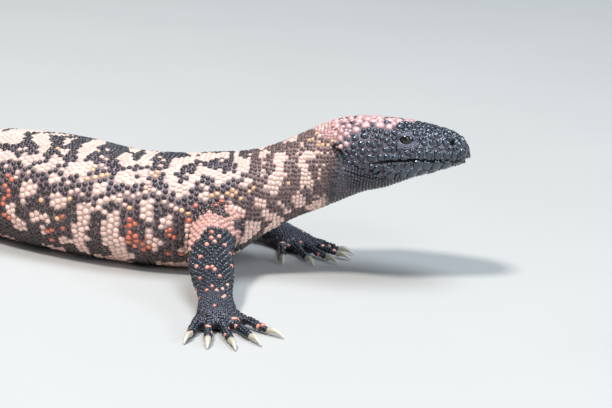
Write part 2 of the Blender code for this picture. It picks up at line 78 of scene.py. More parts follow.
# The spine from snout to tail: x, y, middle height, half width, half height, lean, squareness.
# Lean turns a section about the spine, in degrees, with the right side up.
SPINE = {
    "snout tip": (71.0, 0.0, 57.8, 2.6, 1.9, 8.0, 2.2),
    "rostral": (70.2, 0.0, 58.2, 5.2, 3.4, 8.0, 2.3),
    "lip front": (68.4, 0.0, 58.9, 7.7, 5.1, 8.0, 2.4),
    "nostril": (65.2, 0.0, 59.5, 10.0, 6.8, 8.0, 2.5),
    "snout": (60.0, 0.0, 59.5, 12.5, 8.7, 8.0, 2.6),
    "muzzle": (54.0, 0.0, 59.2, 14.4, 10.4, 8.0, 2.7),
    "brow front": (48.0, 0.0, 58.6, 15.9, 11.8, 8.0, 2.8),
    "eye": (41.5, 0.0, 57.6, 17.3, 13.5, 8.0, 2.8),
    "cheek": (34.5, 0.0, 56.2, 19.2, 15.2, 8.0, 2.6),
    "jaw muscle": (25.5, 0.0, 55.0, 21.2, 16.4, 7.5, 2.45),
    "ear": (16.5, 0.0, 52.4, 20.4, 18.0, 6.5, 2.35),
    "nape": (8.0, 0.0, 48.9, 18.6, 19.2, 5.0, 2.2),
    "neck": (-3.6, 0.0, 43.2, 18.8, 18.8, 3.0, 2.15),
    "neck base": (-16.0, 0.0, 36.2, 21.4, 19.4, 1.0, 2.15),
    "shoulder": (-30.0, 0.0, 28.6, 25.4, 22.8, 0.0, 2.2),
    "chest": (-42.0, 0.0, 24.8, 28.4, 25.0, 0.0, 2.25),
    "ribs": (-60.0, 0.8, 23.2, 30.6, 24.6, 0.0, 2.3),
    "belly front": (-84.0, 6.0, 22.8, 31.6, 24.4, 0.0, 2.3),
    "belly": (-105.0, 14.6, 23.4, 32.2, 25.2, 0.0, 2.3),
    "belly rear": (-128.4, 27.8, 23.0, 31.4, 24.8, 0.0, 2.3),
    "loin": (-146.0, 40.6, 21.8, 29.4, 23.4, 0.0, 2.3),
    "hip": (-169.0, 56.2, 19.0, 25.0, 20.6, 0.0, 2.25),
    "vent": (-191.0, 67.2, 15.6, 19.4, 17.0, 0.0, 2.2),
    "tail root": (-210.0, 73.6, 13.6, 15.4, 14.6, 0.0, 2.15),
    "tail fat": (-238.0, 80.0, 13.4, 15.4, 14.4, 0.0, 2.15),
    "tail middle": (-266.0, 81.8, 12.6, 14.6, 13.6, 0.0, 2.15),
    "tail rear": (-294.0, 78.0, 10.8, 12.4, 11.8, 0.0, 2.15),
    "tail end": (-316.0, 70.6, 7.6, 8.6, 8.2, 0.0, 2.1),
    "tail point": (-330.0, 63.4, 4.6, 5.0, 4.9, 0.0, 2.05),
    "tail tip": (-336.0, 59.6, 2.6, 2.2, 2.3, 0.0, 2.0),
}

# The legs, from inside the body outward: x, y, z, half width, half thickness
LEGS = {
    "front_right": {
        "root": (-37.0, -12.0, 25.0, 10.5, 11.0),
        "shoulder": (-38.0, -26.0, 22.6, 10.6, 11.4),
        "upper": (-39.2, -36.0, 19.8, 10.0, 10.8),
        "elbow": (-38.8, -46.0, 16.2, 9.4, 9.8),
        "forearm": (-36.6, -60.0, 11.8, 8.8, 8.4),
        "wrist": (-34.0, -77.0, 7.2, 7.2, 6.0),
        "palm": (-32.6, -87.0, 5.0, 8.4, 5.2),
        "knuckles": (-31.4, -95.0, 3.9, 9.0, 4.1),
        "palm end": (-30.9, -99.0, 3.0, 8.0, 2.8),
    },
    "front_left": {
        "root": (-38.0, 12.0, 25.0, 10.5, 11.0),
        "shoulder": (-40.0, 26.0, 22.0, 10.4, 11.0),
        "upper": (-39.4, 35.0, 18.6, 9.8, 10.2),
        "elbow": (-34.4, 42.4, 15.0, 9.0, 9.2),
        "forearm": (-25.4, 45.0, 11.2, 8.2, 7.8),
        "wrist": (-14.8, 39.8, 7.0, 7.2, 6.0),
        "palm": (-7.4, 34.0, 5.0, 8.6, 5.2),
        "knuckles": (-1.0, 28.6, 3.9, 9.2, 4.1),
        "palm end": (1.8, 26.2, 3.0, 8.0, 2.8),
    },
    "hind_right": {
        "root": (-175.0, 48.0, 18.5, 11.0, 12.0),
        "shoulder": (-179.0, 38.0, 18.0, 11.6, 12.0),
        "upper": (-181.0, 27.0, 17.0, 10.8, 11.2),
        "elbow": (-186.0, 16.5, 14.4, 9.8, 9.8),
        "forearm": (-195.0, 8.0, 11.0, 8.6, 8.2),
        "wrist": (-203.0, -0.5, 7.4, 7.6, 6.4),
        "palm": (-207.4, -9.6, 5.2, 9.0, 5.4),
        "knuckles": (-208.4, -19.0, 4.0, 9.8, 4.2),
        "palm end": (-208.4, -23.4, 3.0, 8.4, 2.8),
    },
    "hind_left": {
        "root": (-165.0, 66.0, 18.5, 11.0, 12.0),
        "shoulder": (-160.0, 76.0, 18.0, 11.6, 12.0),
        "upper": (-154.0, 86.0, 17.0, 10.8, 11.2),
        "elbow": (-150.5, 97.0, 14.4, 9.8, 9.8),
        "forearm": (-150.5, 109.0, 11.0, 8.6, 8.2),
        "wrist": (-152.0, 120.0, 7.4, 7.6, 6.4),
        "palm": (-150.0, 130.4, 5.2, 9.0, 5.4),
        "knuckles": (-145.6, 139.0, 4.0, 9.8, 4.2),
        "palm end": (-143.2, 142.6, 3.0, 8.4, 2.8),
    },
}

# The digits, first to last: angle from the foot's heading in degrees, length
FRONT_DIGITS = ((47.0, 10.5), (26.0, 15.5), (9.0, 19.0), (-5.0, 17.5), (-18.0, 13.5))
HIND_DIGITS = ((48.0, 12.5), (26.0, 17.5), (8.0, 21.5), (-12.0, 20.5), (-46.0, 13.5))
DIGIT_SPACING = 3.6
DIGIT_ROOT_DEPTH = 3.0
WIDE_DIGIT_ANGLE = 30.0
WIDE_DIGIT_ROOT_DEPTH = 6.0
# A digit and a claw along their length: share of the length, height of the middle, half size
DIGIT_SHAPE = ((0.0, 3.0, 2.5), (0.35, 3.3, 2.3), (0.7, 2.6, 2.15), (1.0, 1.9, 1.9))
CLAW_START = 0.3
CLAW_LENGTH = 7.6
CLAW_SHAPE = ((0.0, 2.0, 1.45), (0.3, 2.5, 1.25), (0.62, 2.1, 0.87), (0.88, 1.2, 0.46), (1.0, 0.6, 0.23))

# An eye, as x on the spine, sideways and upward from the section's middle, and its opening's halves
EYE = (41.5, 15.6, 5.6)
EYE_RADIUS = 3.4
EYE_DEPTH = 1.7
EYE_OPENING = (3.15, 2.1)
# How far the opening's halves grow for the rings outside it, and how its front corner is pointed
LID_GROWTH = (0.62, 0.72)
CORNER_LENGTH = 0.10
CORNER_FLATNESS = 0.22
LID_THICKNESS = 0.12
# How far off the eye the lids are raised, in openings, and the angles of pupil and iris
LID_REACH = 2.25
PUPIL_ANGLE = 0.30
IRIS_ANGLE = 0.95
# Rings of lid plates: growth of the opening, number, half width. Ridges: growth, half width
LID_RINGS = ((0.24, 22, 0.34), (0.72, 24, 0.42))
LID_RIMS = ((0.04, 0.22), (0.46, 0.17), (1.0, 0.18))

# The skin
SKIN_DEPTH = 0.5
SKIN_VOXEL = 1.15
SKIN_SMOOTHING = 5
LOWEST_BARE = 0.35
# How near the head's openings its skin is cut finer still, in pixels of the photograph
DETAIL_REACH = 7.0

# Places of change along the body, as x on the spine
BELLY_PLATES_START_X = 14.0
HEAD_END_X = 12.0
NECK_START_X = 0.0
HEAD_FORMS_END_X = -4.0
HEAD_SECTIONS_END_X = -40.0
CHEST_END_X = -76.0
PHOTO_EDGE_X = -137.0
BELLY_END_X = -140.0
TAIL_START_X = -196.0
# How far behind the head's end its skin is still cut finer, pressed, and given painted shadow at the
# openings
FINE_MARGIN, PRESSED_MARGIN, OPENINGS_MARGIN = 10, 22, 12

# Each form's spacing of rings and number of sides
BODY_FORM = (1.0, 180)
LEG_FORM = (1.0, 48)
DIGIT_FORM = (0.8, 24)
CLAW_FORM = (0.3, 16)
EYE_SIDES, EYE_RINGS = 48, 33
RIM_STEPS, RIM_SIDES = 64, 8

# Each kind of scale: its number of sides, and from its rim up the shares of its reach and height
DOME = ((1.04, -0.45), (0.90, 0.46), (0.52, 0.88))
TRUNK_BEAD = (10, DOME)
LEG_BEAD = (9, DOME)
THROAT_GRANULE = (7, DOME)
HEAD_BOSS = (14, ((1.02, -0.45), (0.98, 0.20), (0.82, 0.60), (0.48, 0.90)))
BELLY_SCALE = (8, ((1.03, -0.45), (0.93, 0.70), (0.70, 0.97)))
DIGIT_PLATE = (10, ((0.90, -1.3), (1.00, 0.22), (0.84, 0.72), (0.50, 0.94)))
BARE_GRANULE = (7, ((1.04, -0.45), (0.88, 0.55)))
# How scales are clipped: by how many neighbours, how sharply, and never nearer than this
NEIGHBOURS = 8
CORNER_SHARPNESS = 9.0
LEAST_REACH = 0.12
LOWEST_POINT = 0.02
# The share of colour left at each scale's rim ring, a painted shade where it meets the skin, and the size of
# each scale's patch on the unwrap
ROOT_SHADE = 0.55
UNWRAP_PATCH = 0.0014
# Rows of scales: the share of the spacing between them, and the most scales on each side
ROW_SHARE = 0.866
MOST_STEPS = 200
# How far from a form its skin is sought, and how far off it may lie
SEAT_REACH = 6.0
SEAT_MISS = 1.3
# How near scales may stand, as shares of the first one's size
HEAD_CROWDING = 0.60
THROAT_CROWDING = 0.62
LEG_CROWDING = 0.70
BARE_CROWDING = 0.80

# The beads of the trunk: their spacing at x on the spine, how far round they go, and their sizes
# as shares of the spacing
TRUNK_STOPS = (
    (14.0, 1.75), (0.0, 1.9), (-16.0, 2.2), (-36.0, 2.5), (-60.0, 2.65), (-150.0, 2.65), (-200.0, 2.6),
    (-290.0, 2.3), (-336.0, 1.5),
)
TRUNK_COVER = 0.80
TRUNK_HALF = 0.53
TRUNK_HEIGHT = 0.33
TRUNK_JITTER = 0.22
PALE_GAP, DARK_GAP = 0.06, 0.17
PALE_HEIGHT = 0.74

# The plates of the belly: spacing, the rows' share of it, half sizes and height, and gap
BELLY_PITCH = 3.3
BELLY_ROW_SHARE = 0.66
BELLY_JITTER = 0.03
BELLY_PLATE = (1.12, 1.72, 0.42)
BELLY_GAP = 0.12

# The beads of a leg: their spacing before the wrist, at it and at the palm's end, and their sizes
LEG_PITCHES = (2.45, 1.80, 1.55)
LEG_HALF = 0.485
LEG_HEIGHT = 0.40
LEG_JITTER = 0.13
FOOT_START = "wrist"
LEG_GAP = 0.20
FOOT_CLOSENESS = 0.03
FOOT_GROWTH = 0.10
FOOT_FLATNESS = 0.20

# The cross plates of a digit: spacing, arcs round it, half widths and gap
DIGIT_PLATE_PITCH = 1.65
DIGIT_PLATE_ARCS = (-4.9, -2.75, 0.0, 2.75, 4.9)
DIGIT_PLATE_HALVES = (0.95, 1.05, 1.60, 1.05, 0.95)
DIGIT_PLATE_GAP = 0.12

# The granules of bare skin: half size, how far off other scales may be, and gap
BARE_HALF = 0.72
BARE_REACH = 7.0
BARE_GAP = 0.14

# Markings: the tail's bands and the belly's, and how low the belly's begin
TAIL_BAND = 31.0
LOW_BAND = 24.0
BELLY_LOWNESS = 0.74
# The blotches out of sight: their sizes on the far side and at the rear, how much of the clouds
# they take, and how far before the photograph's edge they begin
FAR_BLOTCH, REAR_BLOTCH = 11.0, 7.5
BLOTCH_LEVEL = 0.57
BLOTCH_LEAD = 50
# Shares of pink beads on the crown, and of lone ones out of sight and on the legs
HEAD_CROWN_SHARE, NECK_CROWN_SHARE = 0.78, 0.70
LONE_SHARE, LEG_LONE_SHARE = 0.10, 0.06
# How far out the shoulder's markings run down a leg, how much that wanders, and how pale they are
SHOULDER_REACH = 24
SHOULDER_WANDER = 9
NEAR_SHOULDER_REACH = 22
PALE_LEG_LEVEL = 0.52

# Colours, as linear red, green, blue
DARK = np.array([0.036, 0.017, 0.015])
UPPER_DARK = np.array([0.015, 0.012, 0.015])
NECK_DARK = np.array([0.100, 0.055, 0.050])
BLACK = np.array([0.009, 0.010, 0.015])
CREAM = np.array([0.78, 0.590, 0.535])
PEACH = np.array([0.76, 0.505, 0.400])
SALMON = np.array([0.60, 0.305, 0.250])
LOW_SALMON = np.array([0.95, 0.62, 0.52])
PINK = np.array([0.60, 0.345, 0.330])
AMBER = np.array([0.82, 0.46, 0.24])
RED = np.array([0.70, 0.17, 0.09])
LEG_SALMON = np.array([0.78, 0.42, 0.32])
THROAT_BROWN = np.array([0.150, 0.090, 0.088])
# A painted sheen on the upper, rearward granules of the throat
PAINTED_THROAT_SHEEN = np.array([0.05, 0.042, 0.055])
# The skin between the scales
DARK_SKIN = np.array([0.235, 0.160, 0.175])
LOW_SKIN = np.array([0.190, 0.120, 0.125])
NECK_SKIN = np.array([0.360, 0.230, 0.215])
PALE_SKIN = np.array([0.72, 0.50, 0.43])
LEG_SKIN = np.array([0.045, 0.036, 0.042])
FOOT_SKIN = np.array([0.125, 0.105, 0.135])
THROAT_SKIN = np.array([0.026, 0.020, 0.022])
JAW_SKIN = np.array([0.190, 0.155, 0.190])
SEAM = np.array([0.130, 0.100, 0.125])
SNOUT_SEAM = np.array([0.350, 0.335, 0.400])
JAW_SEAM = np.array([0.340, 0.320, 0.385])
# Painted shadow in the mouth's crease, the nostrils and the tops of the ears, and the ears' drum below it
OPENING_SHADOW = np.array([0.004, 0.003, 0.003])
EAR_DRUM = np.array([0.018, 0.030, 0.042])
# Eyes, lids and claws
PUPIL = 0.002
IRIS = (0.011, 0.008, 0.010)
EYE_RIM = 0.006
LID_EDGE = np.array([0.230, 0.205, 0.280])
HORN = np.array([0.44, 0.385, 0.285])
HORN_TIP = np.array([0.60, 0.55, 0.45])

# The tints of the gloss. Each material's roughness, grain, bump, gloss, clear coat and tint
NO_TINT = (1.0, 1.0, 1.0)
PALE_TINT = (0.96, 0.97, 1.0)
SKY_TINT = (0.72, 0.86, 1.0)
LOOKS = {
    "beaded_skin": (0.26, 1000.0, 0.45, 0.7, 0.25, PALE_TINT),
    "leg_beads": (0.25, 1100.0, 0.45, 0.65, 0.3, SKY_TINT),
    "head_bosses": (0.25, 1100.0, 0.50, 1.0, 0.6, SKY_TINT),
    "wet_eye": (0.08, 300.0, 0.02, 0.4, 0.6, NO_TINT),
    "claw_horn_look": (0.35, 500.0, 0.15, 0.5, 0.0, NO_TINT),
    "skin": (0.55, 1200.0, 0.4, 0.5, 0.0, NO_TINT),
}
COAT_ROUGHNESS = 0.20
BUMP_DISTANCE = 0.0003

# Each soft light's place, aim, size, power and colour, and the broad light's place, spread in
# degrees, strength and colour
LIGHTS = {
    "key": ((-800, -760, 2000), (-40, 0, 30), 0.40, 52, (1.0, 0.97, 0.94)),
    "front": ((500, -1700, 1500), (20, 0, 30), 0.9, 12, (0.80, 0.90, 1.0)),
    "low": ((900, -1600, 430), (60, 0, 30), 0.35, 3.5, (0.74, 0.87, 1.0)),
    "side": ((2100, -500, 1100), (20, 0, 40), 0.7, 22, (0.72, 0.86, 1.0)),
}
SKY_LIGHT = ((300, 100, 2200), 31.0, 2.5, (0.78, 0.89, 1.0))
# The surroundings' and the floor's two colours, and where the surroundings' colours lie in height
WORLD_STOPS = ((0.02, (0.335, 0.36, 0.38, 1.0)), (0.34, (0.115, 0.125, 0.135, 1.0)))
FLOOR_STOPS = ((0.0, (0.43, 0.42, 0.40, 1.0)), (1.0, (0.47, 0.46, 0.44, 1.0)))
FLOOR_HALF = 6000.0
FLOOR_ROUGHNESS = 0.75

# Markings on the near side, as pixels of the photograph: the outline of each pale patch
PALE_PATCHES = (
    ((1, 128), (12, 126), (24, 127), (26, 134), (21, 142), (15, 145), (9, 143), (3, 141), (0, 142),
     (-4, 135)),
    ((31, 138), (36, 133), (42, 131), (47, 133), (50, 139), (50, 148), (45, 154), (43, 157), (36, 161),
     (30, 163), (25, 166), (19, 165), (18, 157), (19, 153), (28, 151), (31, 154), (37, 152), (39, 148),
     (38, 143), (33, 141)),
    ((-6, 149), (8, 149), (9, 153), (15, 153), (16, 158), (8, 158), (4, 160), (-6, 164)),
    ((35, 165), (40, 162), (46, 161), (52, 157), (58, 153), (62, 155), (62, 160), (57, 164), (52, 168),
     (46, 170), (41, 171), (38, 175), (35, 172)),
    ((45, 178), (50, 174), (56, 174), (60, 177), (57, 181), (53, 184), (50, 186), (47, 183)),
    ((28, 180), (32, 182), (35, 187), (37, 193), (33, 197), (28, 197), (24, 199), (23, 203), (18, 204),
     (17, 199), (19, 192), (22, 186)),
    ((46, 192), (50, 192), (56, 190), (62, 194), (64, 199), (62, 207), (58, 210), (51, 209), (48, 204),
     (51, 200)),
    ((65, 136), (71, 137), (71, 142), (67, 145), (64, 142)),
    ((61, 149), (67, 148), (67, 153), (62, 153)),
    ((76, 151), (81, 147), (86, 141), (92, 138), (100, 141), (97, 148), (93, 152), (88, 155), (83, 158),
     (78, 155)),
    ((70, 162), (75, 160), (82, 159), (90, 161), (91, 167), (86, 171), (80, 177), (75, 174), (67, 174),
     (65, 171), (70, 168)),
    ((29, 208), (35, 209), (40, 213), (45, 216), (49, 221), (50, 225), (45, 225), (40, 222), (34, 223),
     (31, 218)),
    ((14, 219), (21, 216), (24, 222), (26, 228), (29, 234), (24, 232), (17, 231), (12, 226), (11, 222)),
    ((37, 226), (43, 225), (45, 230), (46, 237), (41, 239), (39, 233)),
    ((5, 204), (9, 202), (12, 208), (14, 218), (10, 219), (7, 212)),
    ((78, 206), (84, 201), (92, 204), (98, 203), (101, 199), (107, 195), (112, 193), (118, 196), (121, 200),
     (123, 205), (117, 203), (110, 203), (105, 206), (103, 212), (98, 213), (93, 210), (88, 212), (90, 218),
     (86, 223), (89, 229), (86, 235), (87, 242), (89, 254), (82, 252), (76, 247), (70, 243), (60, 243),
     (60, 238), (68, 238), (72, 233), (70, 227), (76, 226), (77, 220), (72, 217), (77, 212)),
    ((103, 212), (109, 213), (119, 213), (120, 222), (119, 230), (121, 238), (125, 245), (129, 251),
     (134, 261), (120, 259), (113, 256), (108, 252), (105, 246), (103, 240), (101, 234), (99, 228),
     (101, 223), (105, 219)),
    ((114, 165), (118, 160), (120, 155), (124, 152), (129, 150), (133, 152), (134, 158), (138, 158),
     (142, 154), (150, 151), (157, 153), (152, 158), (151, 166), (144, 165), (138, 164), (132, 163),
     (127, 167), (121, 165)),
    ((112, 179), (116, 175), (120, 172), (127, 169), (132, 172), (134, 177), (137, 175), (141, 171),
     (146, 168), (151, 169), (150, 175), (146, 180), (141, 181), (137, 182), (133, 186), (129, 186),
     (125, 182), (120, 183), (117, 186), (113, 182), (110, 182), (107, 186), (104, 190), (98, 192),
     (91, 191), (95, 186), (99, 182), (105, 180)),
    ((143, 201), (147, 199), (153, 198), (154, 202), (152, 208), (153, 216), (150, 222), (145, 223),
     (141, 220), (139, 214), (141, 208), (140, 203)),
    ((161, 221), (164, 218), (168, 212), (172, 213), (173, 220), (174, 229), (170, 231), (165, 229),
     (160, 231), (159, 226)),
    ((144, 230), (150, 228), (153, 234), (156, 239), (161, 243), (166, 247), (160, 250), (154, 250),
     (150, 245), (147, 240), (144, 236)),
    ((162, 178), (165, 171), (168, 164), (173, 160), (180, 158), (190, 156), (200, 154), (215, 153),
     (231, 153), (228, 157), (216, 159), (200, 158), (192, 161), (186, 164), (181, 169), (175, 173),
     (173, 179), (170, 182)),
    ((168, 190), (171, 184), (171, 179), (176, 182), (182, 184), (187, 182), (192, 180), (194, 174),
     (196, 169), (202, 168), (209, 167), (214, 171), (213, 176), (207, 175), (202, 175), (198, 177),
     (196, 183), (193, 188), (190, 190), (189, 197), (189, 204), (185, 203), (184, 197), (180, 197),
     (174, 193)),
    ((212, 178), (215, 172), (218, 169), (223, 168), (225, 174), (231, 172), (236, 175), (234, 179),
     (227, 179), (223, 183), (220, 186), (215, 183)),
    ((235, 160), (233, 155), (238, 153), (244, 157), (250, 153), (252, 160), (251, 170), (246, 172),
     (243, 178), (238, 179), (233, 177), (236, 170), (237, 165)),
    ((236, 181), (240, 183), (246, 180), (252, 178), (253, 182), (248, 186), (243, 187), (238, 185)),
    ((195, 200), (200, 196), (204, 192), (207, 195), (205, 200), (199, 202)),
    ((225, 208), (229, 203), (233, 200), (236, 205), (241, 207), (244, 211), (243, 218), (237, 219),
     (230, 220), (228, 214)),
    ((251, 200), (256, 196), (263, 198), (267, 202), (264, 208), (260, 210), (255, 206)),
    ((184, 231), (190, 226), (196, 222), (200, 218), (205, 213), (208, 210), (212, 213), (218, 216),
     (225, 218), (231, 220), (234, 227), (238, 232), (243, 237), (248, 242), (248, 247), (243, 244),
     (238, 240), (233, 236), (228, 231), (222, 229), (216, 228), (210, 228), (205, 231), (200, 236),
     (196, 242), (191, 250), (188, 256), (180, 250), (184, 240)),
    ((244, 223), (250, 221), (258, 222), (260, 228), (257, 237), (252, 243), (247, 247), (243, 240),
     (244, 232)),
    ((258, 152), (262, 149), (269, 151), (266, 155), (259, 157)),
    ((274, 154), (279, 151), (285, 151), (287, 157), (285, 163), (284, 170), (285, 176), (283, 182),
     (279, 187), (278, 196), (272, 196), (269, 192), (264, 190), (262, 186), (267, 183), (268, 179),
     (272, 175), (276, 171), (275, 166), (273, 160)),
    ((300, 158), (303, 153), (309, 150), (314, 152), (316, 158), (312, 161), (307, 161), (306, 168),
     (309, 172), (311, 178), (312, 182), (314, 188), (313, 194), (309, 193), (308, 187), (305, 184),
     (303, 191), (299, 186), (301, 180), (300, 172), (298, 165)),
    ((293, 195), (298, 192), (303, 194), (306, 200), (304, 205), (299, 209), (295, 206), (292, 200)),
    ((276, 201), (282, 200), (286, 205), (284, 208), (278, 206)),
    ((284, 211), (289, 210), (293, 214), (289, 219), (285, 218)),
    ((263, 212), (268, 209), (272, 214), (278, 215), (280, 219), (276, 222), (268, 220), (264, 218)),
    ((277, 141), (286, 137), (293, 133), (299, 130), (299, 136), (292, 141), (285, 143)),
    ((311, 128), (318, 122), (325, 119), (332, 118), (333, 126), (334, 131), (329, 135), (325, 139),
     (320, 137), (318, 132), (315, 129)),
)
# Lone beads of three colours, and the outline of the pink crown
SINGLE_CREAM = (
    (69, 185), (71, 190), (78, 189), (83, 182), (81, 194), (7, 165), (15, 172), (25, 172), (18, 178),
    (61, 167), (19, 148), (26, 147), (12, 157), (123, 196), (130, 193), (134, 197), (141, 194), (137, 190),
    (125, 207), (144, 187), (151, 184), (155, 188), (158, 191), (148, 191), (162, 200), (168, 203),
    (174, 205), (99, 164), (104, 167), (99, 152), (107, 150), (102, 156), (106, 160), (161, 157), (165, 160),
    (160, 164), (187, 173), (199, 164), (203, 183), (208, 191), (213, 199), (223, 197), (263, 158),
    (264, 163), (264, 169), (262, 174), (300, 142), (303, 145), (297, 155), (319, 153), (323, 154),
    (327, 155), (318, 164), (322, 164), (319, 169), (318, 174), (318, 179), (314, 197), (319, 198),
    (323, 197), (328, 197), (320, 201), (326, 201), (331, 200), (334, 189), (84, 172), (90, 162), (96, 166),
    (152, 171), (177, 208), (221, 161), (256, 187),
)
SINGLE_AMBER = (
    (94, 170), (88, 176), (102, 174), (108, 173), (95, 175), (88, 180), (157, 171), (155, 177), (213, 194),
    (218, 196), (228, 192), (233, 192), (237, 194), (242, 196), (248, 191), (254, 188), (232, 196),
    (181, 212), (189, 213), (305, 132), (308, 140), (312, 138), (318, 134), (319, 141), (322, 143),
    (327, 144), (331, 142), (56, 148), (58, 219), (40, 202), (70, 202), (129, 211), (289, 184), (316, 144),
)
SINGLE_RED = (
    (7, 221), (64, 217), (48, 231), (54, 230), (60, 229), (128, 217), (129, 228), (134, 226), (129, 234),
    (130, 239), (136, 237), (132, 243), (137, 241), (136, 247), (146, 243), (142, 249), (150, 249),
    (167, 237), (175, 238), (170, 231), (191, 218), (185, 222), (222, 203), (218, 206), (194, 208),
    (163, 241), (169, 255), (179, 256), (8, 174), (10, 179), (10, 190), (9, 197), (3, 199), (3, 206),
    (1, 186), (1, 214), (50, 239), (77, 262),
)
CROWN_EDGE = (
    (300, 118), (334, 148), (342, 147), (349, 141), (352, 131), (362, 128), (372, 127), (384, 128),
    (393, 130), (398, 124), (412, 122), (424, 123), (440, 122), (440, 90), (300, 90),
)
# The near arm: its orange beads, and its outline against the trunk
ARM_SPOTS = (
    (217, 236), (212, 233), (211, 239), (216, 243), (205, 246), (226, 247), (230, 252), (201, 258),
    (196, 267), (213, 267), (206, 269), (217, 270), (221, 277), (201, 279), (226, 285), (213, 285),
    (217, 288), (208, 289), (223, 290), (197, 288), (223, 296), (226, 297), (199, 298), (215, 306),
    (232, 320),
)
ARM_EDGE = (
    (188, 360), (190, 262), (194, 250), (199, 241), (205, 233), (210, 229.5), (214, 227.5), (221, 229),
    (229, 233), (236, 240), (242, 246), (246, 252), (238, 262), (300, 360),
)

# Bosses and plates of the head, as pixels of the photograph: middle x and y, length and height
PINK_BOSSES = (
    (356, 130, 8, 6), (366, 125.5, 10, 6), (380, 125, 9, 6), (389.5, 127, 7.5, 6), (358.5, 121.5, 8, 6),
    (346.5, 134.5, 6, 5.5), (346.5, 144.5, 5.5, 6.5), (340.5, 138.5, 5, 7), (348.5, 126.5, 6.5, 6.5),
    (345, 121, 6, 6.5), (337, 126, 5.5, 7), (341.5, 131.5, 5, 6), (335.5, 135, 5, 5.5), (351.5, 119, 7, 4.5),
    (368, 119.5, 10, 5), (379, 118.8, 10, 4.5), (390, 121, 9, 5.5), (399, 121.3, 8, 4.5), (341, 124.5, 5, 5),
    (336, 119.5, 6, 4.5), (360, 117, 9, 3.5), (412, 122.8, 9, 3),
)
DARK_BOSSES = (
    (355, 138, 8, 6.5), (365, 135.5, 9.5, 5.5), (377, 136.5, 8.5, 5), (375.5, 130.8, 8, 3.8),
    (386.5, 133.5, 8.5, 5.5), (394.3, 133.3, 7, 5), (364, 131, 6.5, 3), (387, 140.5, 8.5, 5),
    (393.8, 138.4, 6, 3.5), (379, 144, 8, 5.5), (369.3, 143.5, 7, 6.5), (361, 143.8, 7.5, 6.5),
    (353.5, 145.5, 7, 6), (395, 143.8, 7, 5), (363, 151, 10, 6), (375, 150.3, 11, 5), (387, 149.5, 11, 5),
    (398, 149, 10, 5), (353.5, 151.5, 8, 5), (370.8, 157.8, 9.5, 7.5), (380.8, 157.3, 8.5, 6.5),
    (361, 157.5, 8, 6), (352, 157, 7, 5), (400, 126.5, 10, 5), (409.5, 126.3, 8, 4.5), (418, 127.3, 8, 4.5),
    (372, 125, 3, 4), (345.5, 150, 6, 4),
)
SNOUT_PLATES = (
    (424, 138.5, 7, 4.5), (424.3, 143.3, 8, 4.6), (424, 133.8, 6, 4.5), (431.5, 142, 7, 6),
    (438.5, 142.3, 6, 6.5), (445.5, 141.8, 8, 8.5), (458.3, 142.5, 7.5, 8), (464.3, 143.5, 5.5, 9),
    (455.5, 134.8, 9.5, 5.5), (447, 134.3, 7.5, 6), (463, 136.8, 5, 5), (437, 135.2, 9, 5.5),
    (430, 136.3, 6, 5), (429, 131.2, 8.5, 4.2), (437.5, 129.3, 8.5, 4.5), (421.5, 130, 6, 4),
    (445.8, 129.6, 7, 4), (452.5, 130.3, 6, 4), (429, 126.8, 8, 3.6), (422, 148.2, 9, 3.2),
    (431.5, 148, 9, 3.4), (441, 148.6, 8.5, 3.4), (450.5, 149, 7, 3.6), (457.3, 148.6, 6, 3.6),
)
UPPER_LABIALS = (
    (412.5, 155, 8.5, 5.6), (420.8, 154.5, 8, 7), (429, 154.3, 8.5, 7.4), (437.5, 154.5, 8.5, 8),
    (446.3, 155, 8.5, 8.2), (454.5, 155, 7.5, 8.4), (462.8, 153.2, 7.6, 7.6), (404, 156.6, 9, 4.8),
    (395, 157, 9, 4.6), (386.8, 157.2, 8, 4.4),
)
LOWER_LABIALS = (
    (456, 164.3, 9, 4), (446.5, 164.8, 9.5, 4.6), (436.5, 165.3, 10, 5.4), (426.5, 165.6, 9.5, 6.4),
    (417, 165.8, 9, 6.8), (407.5, 166.6, 9.5, 6.4), (397.5, 167.6, 10, 6), (387, 168.6, 10.5, 5),
    (376.5, 169.2, 10, 4.4), (431, 171.3, 9, 4.6), (422, 172.2, 9, 5), (412.5, 172.8, 9.5, 5.4),
    (402.5, 173.4, 10, 5.4), (392, 174.2, 10, 5),
)
# Each group's places, height, skin between, growth and gap, and whether it is pink
HEAD_GROUPS = (
    (UPPER_LABIALS, 1.05, SNOUT_SEAM, 1.50, 0.34, False),
    (LOWER_LABIALS, 1.00, JAW_SEAM, 1.60, 0.38, False),
    (SNOUT_PLATES, 1.05, SNOUT_SEAM, 1.50, 0.30, False),
    (DARK_BOSSES, 1.22, SEAM, 1.14, 0.36, False),
    (PINK_BOSSES, 1.30, SEAM * 1.1, 1.15, 0.35, True),
)
# Each front plate's side and rise in the head's section at this x, half width and half height
FRONT_SECTION_X = 67.8
FRONT_PLATES = (
    (0.0, -1.2, 1.6, 1.35), (3.1, -1.2, 1.4, 1.35), (5.8, -1.2, 1.2, 1.3), (1.6, 1.5, 1.45, 1.25),
    (4.5, 1.5, 1.35, 1.25), (0.0, 4.0, 1.35, 1.15), (2.9, 4.1, 1.35, 1.15), (5.6, 4.1, 1.2, 1.15),
    (1.5, 6.3, 1.35, 0.95), (0.0, -5.2, 1.6, 1.2), (3.1, -5.2, 1.4, 1.2), (5.8, -5.3, 1.25, 1.1),
    (1.6, -6.4, 1.45, 1.25), (4.6, -6.4, 1.4, 1.2), (0.0, -7.7, 1.45, 1.25), (3.0, -7.7, 1.4, 1.2),
)
FRONT_GROWTH = 1.15
FRONT_HEIGHT, CHIN_HEIGHT = 0.50, 0.45
FRONT_GAP = 0.24
CHIN_RISE = -4
